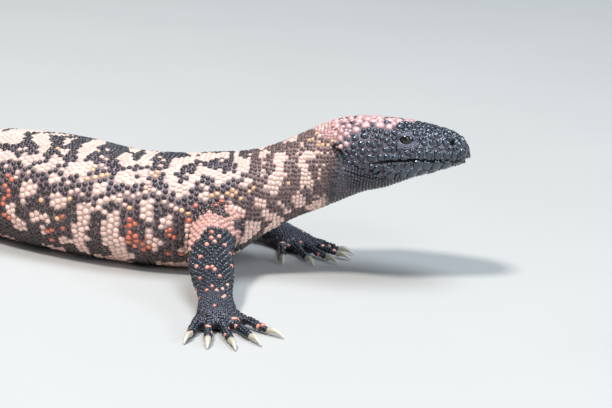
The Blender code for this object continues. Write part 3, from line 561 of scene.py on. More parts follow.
# The head's other scales: their spacing at these distances from the snout's tip, their height,
# half width and half length as shares of half the spacing, and their gap
HEAD_STOPS = (6.0, 30.0, 48.0, 60.0)
HEAD_FILLS = {
    "bosses": ((2.7, 3.5, 3.1, 2.2), 0.64, 0.98, 1.15, 0.30),
    "grains": ((1.7, 1.9, 1.8, 1.6), 0.64, 0.98, 1.15, 0.22),
    "granules": ((1.60, 1.60, 1.60, 1.60), 0.85, 0.94, 1.08, 0.26),
}

# Folds and openings of the head, as pixels of the photograph
MOUTH_CORNER_X = 366
MOUTH_CREASE = (
    (470, 158.5), (461, 160.4), (450, 161.5), (432, 161), (411, 160.3), (400, 160.2), (388, 161.2),
    (378, 163), (370, 164.5),
)
LOWER_LIP_EDGE = (
    (450, 163.2), (432, 162.8), (411, 162.4), (400, 163), (388, 164.6), (376, 166), (366, 165.5),
    (358, 162.5), (351, 157.5),
)
JAW_FOLDS = (
    ((384, 170.5), (370, 171), (360, 169), (351, 163.5)),
    ((390, 178), (372, 177.5), (358, 175), (345, 170)),
    ((351, 157.5), (345, 150), (340, 143)),
)
THROAT_EDGE = (
    (326, 154), (334, 160), (345, 163), (357, 168.5), (372, 172.5), (388, 177), (400, 178), (420, 177),
    (440, 171), (475, 168),
)
EYE_CORNERS = ((402, 139), (413, 139))
NOSTRIL_SPOT = (452.3, 142.6)
NOSTRIL_HALF = (2.5, 3.4)
EAR_SPOT = (338.8, 154.0)
EAR_SLANT = (0.447, 0.894)
EAR_HALF = (9.6, 3.7)
# How the head's skin is pressed in millimetres: the mouth's crease, deeper in front, the lips beside
# it, the lower lip's edge, the folds with their swollen sides, and the openings with their rims
CREASE_DEPTH, CREASE_DEEPER, CREASE_WIDTH = 0.35, 0.80, 0.62
UPPER_LIP, LOWER_LIP, LIP_MIDDLE, LIP_WIDTH = 0.35, 0.20, 1.2, 0.9
LIP_EDGE_HEIGHT, LIP_EDGE_WIDTH = 0.30, 0.40
FOLD_DEPTH, FOLD_WIDTH = 0.75, 0.55
SWELL_HEIGHT, SWELL_MIDDLE, SWELL_WIDTH = 0.35, 0.9, 0.7
NOSTRIL_DEPTH, EAR_DEPTH, EAR_SLOPE = 1.7, 1.9, 0.5
RIM_HEIGHT, RIM_MIDDLE, RIM_WIDTH = 0.3, 1.5, 0.4


# Sums that repeat
def clamped(values):
    """These values held between 0 and 1."""
    return np.clip(values, 0, 1)


def mixed(first, second, share):
    """A mix of two values with this share of the second."""
    return first * (1 - share) + second * share


def eased(share):
    """A share from 0 to 1, with a soft start and end."""
    return share * share * (3 - 2 * share)


def ridge(distance, middle, width):
    """A smooth ridge of height one, at this distance from a line."""
    return np.exp(-(((distance - middle) / width) ** 2))


def paired(first, second):
    """Two rows of values as one row of pairs."""
    return np.stack([first, second], axis=-1)


def angles(count):
    """Even steps once round a circle."""
    return np.arange(count) * 2 * math.pi / count


def unit(vectors):
    """These vectors at length one."""
    vectors = np.asarray(vectors, float)
    return vectors / np.maximum(np.linalg.norm(vectors, axis=-1, keepdims=True), 1e-9)


def laid_flat(along, normals):
    """Directions along a surface, made square to its outward ones."""
    return unit(along - (along * normals).sum(axis=1, keepdims=True) * normals)


def point_tree(points):
    """A search tree of points."""
    tree = KDTree(len(points))
    for i, point in enumerate(points):
        tree.insert(Vector(point), i)
    tree.balance()
    return tree


# Paths and forms of the animal
class Track:
    """Smooth values between named places, by distance along the animal."""

    def __init__(self, rows):
        self.rows = np.array(rows, float)
        steps = np.linalg.norm(np.diff(self.rows[:, :3], axis=0), axis=1)
        self.places = np.concatenate([[0.0], np.cumsum(steps)])
        slopes = np.diff(self.rows, axis=0) / steps[:, None]
        before, after = steps[:-1, None], steps[1:, None]
        inner = (slopes[:-1] * after + slopes[1:] * before) / (before + after)
        self.slopes = np.vstack([slopes[:1], inner, slopes[-1:]])
        self.length = self.places[-1]

    def at(self, distance):
        """The row of values at this distance."""
        i = int(np.clip(np.searchsorted(self.places, distance) - 1, 0, len(self.rows) - 2))
        step = self.places[i + 1] - self.places[i]
        t = clamped((distance - self.places[i]) / step)
        return (
            (2 * t**3 - 3 * t**2 + 1) * self.rows[i]
            + (t**3 - 2 * t**2 + t) * step * self.slopes[i]
            + (3 * t**2 - 2 * t**3) * self.rows[i + 1]
            + (t**3 - t**2) * step * self.slopes[i + 1]
        )

    def heading(self, distance, reach=0.5):
        """The direction of travel at this distance."""
        ahead = self.at(min(distance + reach, self.length))[:3]
        behind = self.at(max(distance - reach, 0.0))[:3]
        return (ahead - behind) / np.linalg.norm(ahead - behind)

    def find_x(self, x):
        """The distance at which the track, which only moves toward -X, passes this x."""
        low, high = 0.0, self.length
        for _ in range(40):
            middle = (low + high) / 2
            if self.at(middle)[0] > x:
                low = middle
            else:
                high = middle
        return low


def body_axes(track, distance):
    """The left and up directions of the body's section at this distance."""
    row = track.at(distance)
    ahead = -track.heading(distance)
    flat = unit([ahead[0], ahead[1], 0.0])
    left = np.array([-flat[1], flat[0], 0.0])
    lean = math.radians(row[5])
    up = np.array([0.0, 0.0, 1.0])
    return row, left * math.cos(lean) - up * math.sin(lean), up * math.cos(lean) + left * math.sin(lean)


def limb_axes(track, distance):
    """The side and up directions of a leg's section at this distance."""
    row = track.at(distance)
    ahead = track.heading(distance)
    side = unit(np.cross(ahead, (0.0, 0.0, 1.0)))
    return row, side, np.cross(side, ahead)


def digit_axes(track, distance):
    """The side and up directions of a digit's section, kept upright."""
    row = track.at(distance)
    ahead = track.heading(distance)
    ahead = unit([ahead[0], ahead[1], 0.0])
    side = unit(np.cross(ahead, (0.0, 0.0, 1.0)))
    return row, side, np.array([0.0, 0.0, 1.0])


def outline(half_width, half_height, squareness, count):
    """Evenly spaced points of a rounded outline, from the top round by the right."""
    turn = np.linspace(0, 2 * math.pi, 721)
    power = 2 / squareness
    side = -half_width * np.sign(np.sin(turn)) * np.abs(np.sin(turn)) ** power
    rise = half_height * np.sign(np.cos(turn)) * np.abs(np.cos(turn)) ** power
    walked = np.concatenate([[0], np.cumsum(np.hypot(np.diff(side), np.diff(rise)))])
    places = np.linspace(0, walked[-1], count + 1)[:-1]
    return np.interp(places, walked, side), np.interp(places, walked, rise), walked[-1]


class Form:
    """A tube of the animal, known by distance along it and arc length round from its top line."""

    def __init__(self, track, axes, pitch, count):
        self.track = track
        self.end = track.length
        self.count = count
        rows = max(3, int(round(self.end / pitch)) + 1)
        self.places = np.linspace(0.0, self.end, rows)
        self.step = self.places[1] - self.places[0]
        rings, rounds, middles = [], [], []
        for place in self.places:
            row, left, up = axes(track, place)
            square = row[6] if len(row) > 6 else 2.0
            side, rise, length = outline(row[3], row[4], square, count)
            rings.append(row[:3] + side[:, None] * left + rise[:, None] * up)
            rounds.append(length)
            middles.append(row[:3])
        self.rings = np.array(rings)
        self.rounds = np.array(rounds)
        along = np.gradient(self.rings, axis=0)
        across = np.roll(self.rings, -1, axis=1) - np.roll(self.rings, 1, axis=1)
        normals = unit(np.cross(along, across))
        outward = self.rings - np.array(middles)[:, None]
        normals *= np.sign((normals * outward).sum(axis=2, keepdims=True).sum(axis=(0, 1), keepdims=True))
        self.normals = normals
        self.along = unit(along)
        self.rings[:, :, 2] = np.maximum(self.rings[:, :, 2], 0.0)

    def round_at(self, distance):
        """How far it is round the tube at this distance."""
        return np.interp(distance, self.places, self.rounds)

    def lowness(self, distance, arc):
        """How far round places lie, from 0 on the top line to 1 on the lowest."""
        return np.abs(arc) / (self.round_at(distance) / 2)

    def at(self, distance, arc):
        """Points, outward directions and rearward directions at these places."""
        distance, arc = np.broadcast_arrays(np.asarray(distance, float), np.asarray(arc, float))
        row = np.clip(distance / self.step, 0, len(self.places) - 1.0001)
        column = (arc / self.round_at(distance) * self.count) % self.count
        i, j = row.astype(int), column.astype(int) % self.count
        s, t = (row - i)[..., None], (column - np.floor(column))[..., None]
        k = (j + 1) % self.count
        points, normals, along = (
            mixed(mixed(values[i, j], values[i, k], t), mixed(values[i + 1, j], values[i + 1, k], t), s)
            for values in (self.rings, self.normals, self.along)
        )
        return points, unit(normals), unit(along)


def digit_tracks(name):
    """The paths of the five digits and of their claws."""
    knuckles = np.array(LEGS[name]["knuckles"])
    forward = unit(knuckles[:2] - np.array(LEGS[name]["wrist"])[:2])
    inward = 1 if name.endswith("right") else -1
    toward_thumb = np.array([-forward[1], forward[0]]) * inward
    digits = FRONT_DIGITS if name.startswith("front") else HIND_DIGITS
    found = []
    for number, (angle, length) in enumerate(digits, 1):
        spread = math.radians(angle)
        heading = forward * math.cos(spread) + toward_thumb * math.sin(spread)
        back = DIGIT_ROOT_DEPTH if abs(angle) < WIDE_DIGIT_ANGLE else WIDE_DIGIT_ROOT_DEPTH
        root = knuckles[:2] + toward_thumb * (3 - number) * DIGIT_SPACING - forward * back
        reach = length + back
        tip = root + heading * reach
        digit = [(*(root + heading * reach * share), *size, size[-1]) for share, *size in DIGIT_SHAPE]
        claw = [
            (*(tip + heading * (CLAW_START + CLAW_LENGTH * share)), *size, size[-1])
            for share, *size in CLAW_SHAPE
        ]
        found.append((Track(digit), Track(claw)))
    return found


# The spine's path, places along it, and the head's sections by x
BODY = Track(list(SPINE.values()))
TRUNK_PLACES = [BODY.find_x(x) for x, _ in TRUNK_STOPS]
TRUNK_PITCHES = [pitch for _, pitch in TRUNK_STOPS]
PHOTO_EDGE = BODY.find_x(PHOTO_EDGE_X)
TAIL_START = BODY.find_x(TAIL_START_X)
NECK_START = BODY.find_x(NECK_START_X)
THROAT_END = NECK_START - 1.0
HEAD_PLACES = np.arange(0.0, BODY.find_x(HEAD_SECTIONS_END_X), 0.5)
HEAD_SECTIONS = np.array([BODY.at(place) for place in HEAD_PLACES])[::-1]


def head_spot(x, side, rise):
    """A point beside the spine at this x, side toward the animal's left and rise up its section."""
    row, left, up = body_axes(BODY, BODY.find_x(x))
    return row[:3] + side * left + rise * up


def head_turn(x):
    """The height of the section's middle and the cosine and sine of its lean, at these x."""
    lean = np.radians(np.interp(x, HEAD_SECTIONS[:, 0], HEAD_SECTIONS[:, 5]))
    return np.interp(x, HEAD_SECTIONS[:, 0], HEAD_SECTIONS[:, 2]), np.cos(lean), np.sin(lean)


def to_head(points):
    """How far points of the head lie to its left and up, in its own leaning sections."""
    middle, cosine, sine = head_turn(points[:, 0])
    y, z = points[:, 1], points[:, 2] - middle
    return y * cosine - z * sine, y * sine + z * cosine


def from_head(x, side, rise):
    """Points of the head from x, side and rise."""
    middle, cosine, sine = head_turn(x)
    return np.stack([x, side * cosine + rise * sine, middle - side * sine + rise * cosine], axis=-1)


# The camera's axes, and the way from the drawing frame to pixels of the photograph
def camera_axes():
    """The camera's right, up and backward directions."""
    rise, roll = math.radians(CAMERA_RISE), math.radians(CAMERA_ROLL)
    back = np.array([0.0, -math.cos(rise), math.sin(rise)])
    level = np.array([1.0, 0.0, 0.0])
    upright = np.cross(back, level)
    right = math.cos(roll) * level + math.sin(roll) * upright
    up = -math.sin(roll) * level + math.cos(roll) * upright
    return right, up, back


def photo_spots(points):
    """The pixels of the photograph at which these points show."""
    right, up, back = camera_axes()
    offset = np.asarray(points, float) - (np.array(CAMERA_TARGET) + CAMERA_DISTANCE * back)
    scale = PIXEL_SCALE / -(offset @ back)
    return paired(PHOTO[0] / 2 + scale * (offset @ right), PHOTO[1] / 2 - scale * (offset @ up))


def near_spots(points):
    """Pixels of points of the head, with those of the far side first mirrored to the near side."""
    side, rise = to_head(points)
    return photo_spots(from_head(points[:, 0], -np.abs(side), rise))


def place_camera(shift):
    """Adds the camera at the photograph's viewing angle."""
    right, up, back = camera_axes()
    data = bpy.data.cameras.new("camera")
    data.lens = LENS
    data.sensor_width = SENSOR
    data.clip_start = 0.02
    data.clip_end = 20.0
    made = bpy.data.objects.new("camera", data)
    turn = Matrix(np.array([right, up, back]).T.tolist()).to_4x4()
    spot = (np.array(CAMERA_TARGET) + CAMERA_DISTANCE * back) * MM + shift
    made.matrix_world = Matrix.Translation(Vector(spot)) @ turn
    bpy.context.scene.collection.objects.link(made)
    bpy.context.scene.camera = made


# Making meshes
def add_mesh(name, points, faces, shift):
    """A mesh object from points in the drawing frame and faces of one size each."""
    data = bpy.data.meshes.new(name)
    points = np.asarray(points, float) * MM + shift
    groups = [np.asarray(group, np.int32) for group in faces if len(group)]
    corners = np.concatenate([group.ravel() for group in groups])
    sizes = np.concatenate([np.full(len(group), group.shape[1], np.int32) for group in groups])
    data.vertices.add(len(points))
    data.vertices.foreach_set("co", points.astype(np.float32).ravel())
    data.loops.add(len(corners))
    data.loops.foreach_set("vertex_index", corners)
    data.polygons.add(len(sizes))
    data.polygons.foreach_set("loop_start", np.concatenate([[0], np.cumsum(sizes)[:-1]]).astype(np.int32))
    data.update(calc_edges=True)
    data.validate()
    data.shade_smooth()
    made = bpy.data.objects.new(name, data)
    bpy.context.scene.collection.objects.link(made)
    return made


def tube_faces(rows, count, base=0):
    """The quads between the rings of a tube."""
    i, j = np.meshgrid(np.arange(rows - 1), np.arange(count), indexing="ij")
    k = (j + 1) % count
    quads = np.stack([i * count + j, i * count + k, (i + 1) * count + k, (i + 1) * count + j], axis=-1)
    return quads.reshape(-1, 4) + base


def capped_tube(rings):
    """Points and faces of a closed tube through these rings."""
    rings = np.asarray(rings, float)
    rows, count = rings.shape[:2]
    points = np.vstack([rings.reshape(-1, 3), rings[0].mean(axis=0), rings[-1].mean(axis=0)])
    j = np.arange(count)
    k = (j + 1) % count
    front = np.stack([np.full(count, rows * count), k, j], axis=-1)
    last = (rows - 1) * count
    rear = np.stack([np.full(count, rows * count + 1), last + j, last + k], axis=-1)
    return points, tube_faces(rows, count), np.vstack([front, rear])


def joined(parts):
    """Several sets of points, quads and triangles as one."""
    points, quads, triangles, base = [], [], [], 0
    for some_points, some_quads, some_triangles in parts:
        points.append(some_points)
        quads.append(some_quads + base)
        triangles.append(some_triangles + base)
        base += len(some_points)
    return np.vstack(points), np.vstack(quads), np.vstack(triangles)


def mesh_points(made, shift):
    """A mesh's points, in the drawing frame."""
    points = np.empty(len(made.data.vertices) * 3, np.float32)
    made.data.vertices.foreach_get("co", points)
    return (points.reshape(-1, 3).astype(float) - shift) / MM


def set_points(made, points, shift):
    """Moves a mesh's points to these, given in the drawing frame."""
    made.data.vertices.foreach_set("co", (points * MM + shift).astype(np.float32).ravel())
    made.data.update()


def vertex_normals(made):
    """The outward direction of a mesh at each of its points."""
    normals = np.empty(len(made.data.vertices) * 3, np.float32)
    made.data.vertex_normals.foreach_get("vector", normals)
    return normals.reshape(-1, 3).astype(float)


def skin_tree(made, shift):
    """A search tree of the skin, in the drawing frame."""
    points = mesh_points(made, shift)
    made.data.calc_loop_triangles()
    faces = np.empty(len(made.data.loop_triangles) * 3, np.int32)
    made.data.loop_triangles.foreach_get("vertices", faces)
    return BVHTree.FromPolygons(points.tolist(), faces.reshape(-1, 3).tolist())


def paint(made, colours):
    """Gives each point of a mesh its colour."""
    layer = made.data.color_attributes.new("marking", "FLOAT_COLOR", "POINT")
    shades = np.ones((len(colours), 4), np.float32)
    shades[:, :3] = colours
    layer.data.foreach_set("color", shades.ravel())


def set_unwrap(made, spots):
    """Gives a mesh the unwrap that its colours are kept by."""
    layer = made.data.uv_layers.new(name="OFBake")
    corners = np.empty(len(made.data.loops), np.int32)
    made.data.loops.foreach_get("vertex_index", corners)
    layer.data.foreach_set("uv", np.asarray(spots, np.float32)[corners].ravel())


# The skin
def make_skin(forms, shift):
    """One closed skin over every tube of flesh, a little inside the solids."""
    parts = []
    for form in forms:
        rings = form.rings - form.normals * SKIN_DEPTH
        rings[:, :, 2] = np.maximum(rings[:, :, 2], 0.0)
        parts.append(capped_tube(rings))
    points, quads, triangles = joined(parts)
    made = add_mesh("skin", points, (quads, triangles), shift)
    remesh = made.modifiers.new("remesh", "REMESH")
    remesh.mode = "VOXEL"
    remesh.voxel_size = SKIN_VOXEL * MM
    smooth = made.modifiers.new("smooth", "SMOOTH")
    smooth.factor = 0.5
    smooth.iterations = SKIN_SMOOTHING
    evaluated = made.evaluated_get(bpy.context.evaluated_depsgraph_get())
    data = bpy.data.meshes.new_from_object(evaluated)
    made.modifiers.clear()
    made.data = data
    data.shade_smooth()
    return made


def refine_head(skin, shift):
    """Cuts the head's skin finer, and its mouth, eyes, nostrils and ears finer still."""
    made = bmesh.new()
    made.from_mesh(skin.data)
    every_way = {f"use_axis_{axis}": True for axis in "xyz"}
    for level in range(2):
        points = (np.array([v.co for v in made.verts]) - shift) / MM
        wanted = points[:, 0] > HEAD_END_X - FINE_MARGIN
        if level:
            some = np.flatnonzero(wanted)
            wanted[some] = detail_distance(near_spots(points[some])) < DETAIL_REACH
        made.verts.ensure_lookup_table()
        faces = [face for face in made.faces if all(wanted[v.index] for v in face.verts)]
        edges = list({edge for face in faces for edge in face.edges})
        found = bmesh.ops.subdivide_edges(made, edges=edges, cuts=1, use_grid_fill=True)
        fresh = [item for item in found["geom_inner"] if isinstance(item, bmesh.types.BMVert)]
        nearby = {v for one in fresh for edge in one.link_edges for v in edge.verts}
        for _ in range(3):
            bmesh.ops.smooth_vert(made, verts=list(nearby), factor=0.5, **every_way)
        made.verts.index_update()
    made.to_mesh(skin.data)
    made.free()
    skin.data.shade_smooth()


def shape_head(skin, shift):
    """Presses the mouth, folds, nostrils and ears into the head's skin and raises the lids."""
    points = mesh_points(skin, shift)
    normals = vertex_normals(skin)
    rows = np.flatnonzero(points[:, 0] > HEAD_END_X - PRESSED_MARGIN)
    spots = near_spots(points[rows])
    fade = clamped(np.abs(to_head(points[rows])[0]) / 4.0)
    depth = np.zeros(len(rows))
    crease = line_distance(spots, MOUTH_CREASE) * MM_PER_PIXEL
    corner = clamped((spots[:, 0] - MOUTH_CORNER_X) / 22.0)
    depth -= (CREASE_DEPTH + CREASE_DEEPER * corner) * ridge(crease, 0, CREASE_WIDTH)
    above = spots[:, 1] < line_row(spots, MOUTH_CREASE)
    depth += np.where(above, UPPER_LIP, LOWER_LIP) * ridge(crease, LIP_MIDDLE, LIP_WIDTH)
    edge = line_distance(spots, LOWER_LIP_EDGE) * MM_PER_PIXEL
    depth += LIP_EDGE_HEIGHT * fade * ridge(edge, 0, LIP_EDGE_WIDTH)
    for fold in JAW_FOLDS:
        line = line_distance(spots, fold) * MM_PER_PIXEL
        swell = SWELL_HEIGHT * ridge(line, SWELL_MIDDLE, SWELL_WIDTH)
        depth += fade * (swell - FOLD_DEPTH * ridge(line, 0, FOLD_WIDTH))
    down, out = ear_place(spots)
    ear_depth = EAR_DEPTH - EAR_SLOPE * np.clip(down, -1, 1)
    for share, press in ((nostril_reach(spots), NOSTRIL_DEPTH), (out, ear_depth)):
        depth -= press * np.exp(-(share**4)) * fade
        depth += RIM_HEIGHT * ridge(share, RIM_MIDDLE, RIM_WIDTH) * fade
    points[rows] += normals[rows] * depth[:, None]
    for hand in (1, -1):
        eye, ahead, up, out = eye_frame(hand)
        offset = points[rows] - eye
        u, v, w = offset @ ahead, offset @ up, offset @ out
        edge_x, edge_y, lift = opening_edge(np.arctan2(v / EYE_OPENING[1], u / EYE_OPENING[0]))
        share = np.hypot(u, v) / np.hypot(edge_x, edge_y)
        close = (np.hypot(u, v) < 9) & (w > -6) & (share < LID_REACH)
        ball = np.sqrt(np.maximum(EYE_RADIUS**2 - u**2 - v**2, 0)) - EYE_DEPTH
        blend = eased(clamped((share - 1) / (LID_REACH - 1)))
        raised = np.where(share < 1, np.minimum(ball - 0.7, w), mixed(lift, w, blend))
        points[rows] += np.where(close, raised - w, 0.0)[:, None] * out
    set_points(skin, points, shift)


# Places on the photograph
def inside(spots, corners):
    """Which pixels lie in a closed outline."""
    found = np.zeros(len(spots), bool)
    x, y = spots[:, 0], spots[:, 1]
    for (ax, ay), (bx, by) in zip(corners, (*corners[1:], corners[0])):
        if ay == by:
            continue
        crosses = (ay > y) != (by > y)
        found ^= crosses & (x < (bx - ax) * (y - ay) / (by - ay) + ax)
    return found


def line_distance(spots, points):
    """How far these pixels are from a line of pixels."""
    best = np.full(len(spots), np.inf)
    for start, end in zip(points, points[1:]):
        start, end = np.array(start, float), np.array(end, float)
        run = end - start
        share = clamped(((spots - start) @ run) / max(run @ run, 1e-9))
        best = np.minimum(best, np.hypot(*(spots - start - share[:, None] * run).T))
    return best


def line_row(spots, line):
    """The row at which a line of pixels crosses each spot's column."""
    return np.interp(spots[:, 0], *zip(*sorted(line)))


def in_patches(spots):
    """Which pixels are in a pale patch."""
    pale = np.zeros(len(spots), bool)
    for corners in PALE_PATCHES:
        pale |= inside(spots, corners)
    return pale


def nearest_of(spots, wanted, allowed, reach):
    """For each wanted pixel, the nearest allowed spot within reach."""
    found = []
    for x, y in wanted:
        far = np.hypot(spots[:, 0] - x, spots[:, 1] - y)
        far[~allowed] = np.inf
        best = int(np.argmin(far))
        if far[best] < reach:
            found.append(best)
    return found


def pixel_hits(tree, pixels):
    """Where the skin shows at these pixels, or comes nearest to showing."""
    right, up, back = camera_axes()
    spot = Vector(np.array(CAMERA_TARGET) + CAMERA_DISTANCE * back)
    hits = []
    for x, y in pixels:
        way = -back + (x - PHOTO[0] / 2) / PIXEL_SCALE * right + (PHOTO[1] / 2 - y) / PIXEL_SCALE * up
        hit, _, _, _ = tree.ray_cast(spot, Vector(way).normalized())
        if hit is None:
            reaches = np.arange(CAMERA_DISTANCE - 90, CAMERA_DISTANCE + 90, 2.0)
            close = [tree.find_nearest(spot + Vector(way) * float(reach)) for reach in reaches]
            hit = min(close, key=lambda found: found[3])[0]
        hits.append(hit)
    return np.array(hits)


def ear_place(spots):
    """How far pixels lie down the slanted ear, and how far out they are, with 1 at its rim."""
    x, y = spots[:, 0] - EAR_SPOT[0], spots[:, 1] - EAR_SPOT[1]
    down = (x * EAR_SLANT[0] + y * EAR_SLANT[1]) / EAR_HALF[0]
    beside = (x * EAR_SLANT[1] - y * EAR_SLANT[0]) / EAR_HALF[1]
    return down, np.hypot(down, beside)


def ear_clear(points):
    """Which points of the head and neck lie clear of the ear."""
    _, out = ear_place(near_spots(points))
    return (out > 0.98) | (np.abs(to_head(points)[0]) < 4)


def nostril_reach(spots):
    """How far out pixels are from the nostril's middle, with 1 at its rim."""
    return np.hypot(*((spots - NOSTRIL_SPOT) / NOSTRIL_HALF).T)


def detail_distance(spots):
    """How far pixels of the head are from its mouth, eye, nostril or ear."""
    far = line_distance(spots, MOUTH_CREASE)
    for x, y in (NOSTRIL_SPOT, *EYE_CORNERS):
        far = np.minimum(far, np.hypot(spots[:, 0] - x, spots[:, 1] - y) - 5)
    _, out = ear_place(spots)
    return np.minimum(far, (out - 1) * EAR_HALF[1])


def clouds(x, y, size, seed, cells=64):
    """Smooth random values from 0 to 1 over a plane, with features of this size."""
    table = np.random.default_rng(SEED + seed).random((cells, cells))
    u, v = np.asarray(x) / size, np.asarray(y) / size
    i, j = np.floor(u).astype(int), np.floor(v).astype(int)
    s, t = eased(u - i), eased(v - j)
    i, j, k, m = (cell % cells for cell in (i, j, i + 1, j + 1))
    return mixed(mixed(table[i, j], table[i, m], t), mixed(table[k, j], table[k, m], t), s)


# Scales: where they stand
def scale_table(roots, normals, along, **columns):
    """A table of scales, one row each, with single values and colours given to every row."""
    table = {"root": roots, "normal": normals, "along": laid_flat(along, normals)}
    for name, value in columns.items():
        shape = (len(roots), 3) if name in ("colour", "under") else len(roots)
        table[name] = np.broadcast_to(value, shape).astype(float)
    return table


def merged(tables):
    """Several tables of scales as one, with the columns that they share."""
    names = [name for name in tables[0] if all(name in table for table in tables)]
    return {name: np.concatenate([table[name] for table in tables]) for name in names}


def chosen_rows(table, rows):
    """Some rows of a table."""
    return {name: value[rows] for name, value in table.items()}


def staggered(form, start, end, pitch_of, cover=1.0, row_share=ROW_SHARE, jitter=0.06, seed=0):
    """Places in staggered rows: distances, arc lengths and the local pitch."""
    rng = np.random.default_rng(SEED + seed)
    distances, arcs, pitches = [], [], []
    place, number = start, 0
    while place < end:
        pitch = float(pitch_of(place))
        half = form.round_at(place) / 2
        arc = (np.arange(-MOST_STEPS, MOST_STEPS + 1) + (0.5 if number % 2 else 0.0)) * pitch
        arc = arc[np.abs(arc) < cover * half]
        distances.append(place + rng.normal(0, jitter * pitch * 0.5, len(arc)))
        arcs.append(arc + rng.normal(0, jitter * pitch * 0.5, len(arc)))
        pitches.append(np.full(len(arc), pitch))
        place += pitch * row_share
        number += 1
    return np.concatenate(distances), np.concatenate(arcs), np.concatenate(pitches)


def seat(tree, points, normals, reach):
    """Puts points on the skin. Those whose skin lies elsewhere, under another form, are marked."""
    seats, kept = points.copy(), np.zeros(len(points), bool)
    faces = normals.copy()
    for i, (point, normal) in enumerate(zip(points, normals)):
        hit, face, _, _ = tree.ray_cast(Vector(point + normal * reach), Vector(-normal), reach * 2)
        if hit is None:
            continue
        seats[i] = hit
        faces[i] = face
        offset = (np.array(hit) - point) @ normal
        kept[i] = -SEAT_MISS - SKIN_DEPTH < offset < SEAT_MISS
    return seats, unit(faces), kept


def seated(form, tree, distance, arc, half_along, half_across, height, reach=SEAT_REACH):
    """A table of scales at these places of a form, with those under another form left out."""
    points, normals, along = form.at(distance, arc)
    seats, faces, kept = seat(tree, points, normals, reach)
    table = scale_table(
        seats, unit(normals + faces), along, half_along=half_along, half_across=half_across,
        height=height, distance=distance, arc=arc,
    )
    return chosen_rows(table, kept)


def thinned(roots, sizes, share):
    """Which scales stay when each crowds out later ones nearer than this share of its size."""
    tree = point_tree(roots)
    kept = np.ones(len(roots), bool)
    for i, root in enumerate(roots):
        if not kept[i]:
            continue
        for _, j, _ in tree.find_range(Vector(root), share * 2 * sizes[i]):
            if j > i:
                kept[j] = False
    return kept


def without_crowding(table, share):
    """A table with the scales that crowd an earlier one left out."""
    sizes = (table["half_along"] + table["half_across"]) / 2
    sizes = np.where(table["shoulder"] < -0.5, sizes * 0.75, sizes)
    return chosen_rows(table, thinned(table["root"], sizes, share))


# Scales: their shape
def oval_reach(angle, long, wide):
    """How far an oval reaches in this direction."""
    return 1.0 / np.sqrt((np.cos(angle) / long) ** 2 + (np.sin(angle) / wide) ** 2)


def scale_edges(table, sides):
    """How far each scale reaches in each direction, clipped between it and its neighbours."""
    roots, normals, along = table["root"], table["normal"], table["along"]
    across = np.cross(normals, along)
    long, wide = table["half_along"], table["half_across"]
    tree = point_tree(roots)
    near = np.tile(np.arange(len(roots))[:, None], (1, NEIGHBOURS))
    for i, root in enumerate(roots):
        found = tree.find_n(Vector(root), NEIGHBOURS + 1)
        others = [j for _, j, _ in found if j != i][:NEIGHBOURS]
        near[i, : len(others)] = others
    turn = angles(sides)
    offset = roots[near] - roots[:, None]
    way = np.arctan2((offset * across[:, None]).sum(axis=2), (offset * along[:, None]).sum(axis=2))
    bend = np.clip((normals[:, None] * normals[near]).sum(axis=2), -1, 1)
    half_cosine = np.maximum(np.sqrt((1 + bend) / 2), 0.6)
    far = np.linalg.norm(offset, axis=2) / half_cosine
    far = np.where(far < 1e-6, 1e6, far)
    mine = oval_reach(way, long[:, None], wide[:, None])
    other_way = np.arctan2((offset * across[near]).sum(axis=2), (offset * along[near]).sum(axis=2))
    theirs = oval_reach(other_way, long[near], wide[near])
    reach = np.maximum(far * mine / (mine + theirs) - table["gap"][:, None] / 2, LEAST_REACH)
    facing = np.cos(turn[None, None] - way[:, :, None])
    limits = reach[:, :, None] / np.maximum(facing, 1e-3)
    own = oval_reach(turn[None], long[:, None], wide[:, None])
    total = own ** -CORNER_SHARPNESS + (limits ** -CORNER_SHARPNESS).sum(axis=1)
    return total ** (-1.0 / CORNER_SHARPNESS), turn, across


def make_scales(name, table, kind, shift):
    """One joined mesh of solid scales, with their colours, a painted shade at their roots, and their places
    on the unwrap.
    """
    sides, profile = kind
    reach, turn, across = scale_edges(table, sides)
    roots, normals, along, height = (table[column] for column in ("root", "normal", "along", "height"))
    count, rings = len(roots), len(profile)
    flat = np.cos(turn)[None, :, None] * along[:, None] + np.sin(turn)[None, :, None] * across[:, None]
    flat *= reach[:, :, None]
    size = rings * sides + 1
    points = np.empty((count, size, 3))
    for k, (share, rise) in enumerate(profile):
        lift = (rise * height)[:, None, None] * normals[:, None]
        points[:, k * sides : (k + 1) * sides] = roots[:, None] + flat * share + lift
    points[:, -1] = roots + height[:, None] * normals
    points[..., 2] = np.maximum(points[..., 2], LOWEST_POINT)
    ring = np.arange(sides)
    last = (rings - 1) * sides
    triangles = np.stack([last + ring, last + (ring + 1) % sides, np.full(sides, size - 1)], axis=-1)
    base = np.arange(count)[:, None, None] * size
    quads = (tube_faces(rings, sides)[None] + base).reshape(-1, 4)
    made = add_mesh(name, points.reshape(-1, 3), (quads, (triangles[None] + base).reshape(-1, 3)), shift)
    shades = np.repeat(table["colour"][:, None], size, axis=1)
    # Each scale's rim ring is darkened: painted shade where it meets the skin
    shades[:, :sides] *= ROOT_SHADE
    paint(made, shades.reshape(-1, 3))
    patch = [share * paired(np.cos(turn), np.sin(turn)) for share, _ in profile]
    spread = UNWRAP_PATCH * np.vstack([*patch, [[0.0, 0.0]]])
    set_unwrap(made, (table["unwrap"][:, None] + spread[None]).reshape(-1, 2))
    return made


def add_coat(name, table, kind, shift, look):
    """A coat piece that rides on the body, with its material and slot."""
    piece = make_scales(name, table, kind, shift)
    piece.data.materials.append(look)
    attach(piece, "root")
    return piece


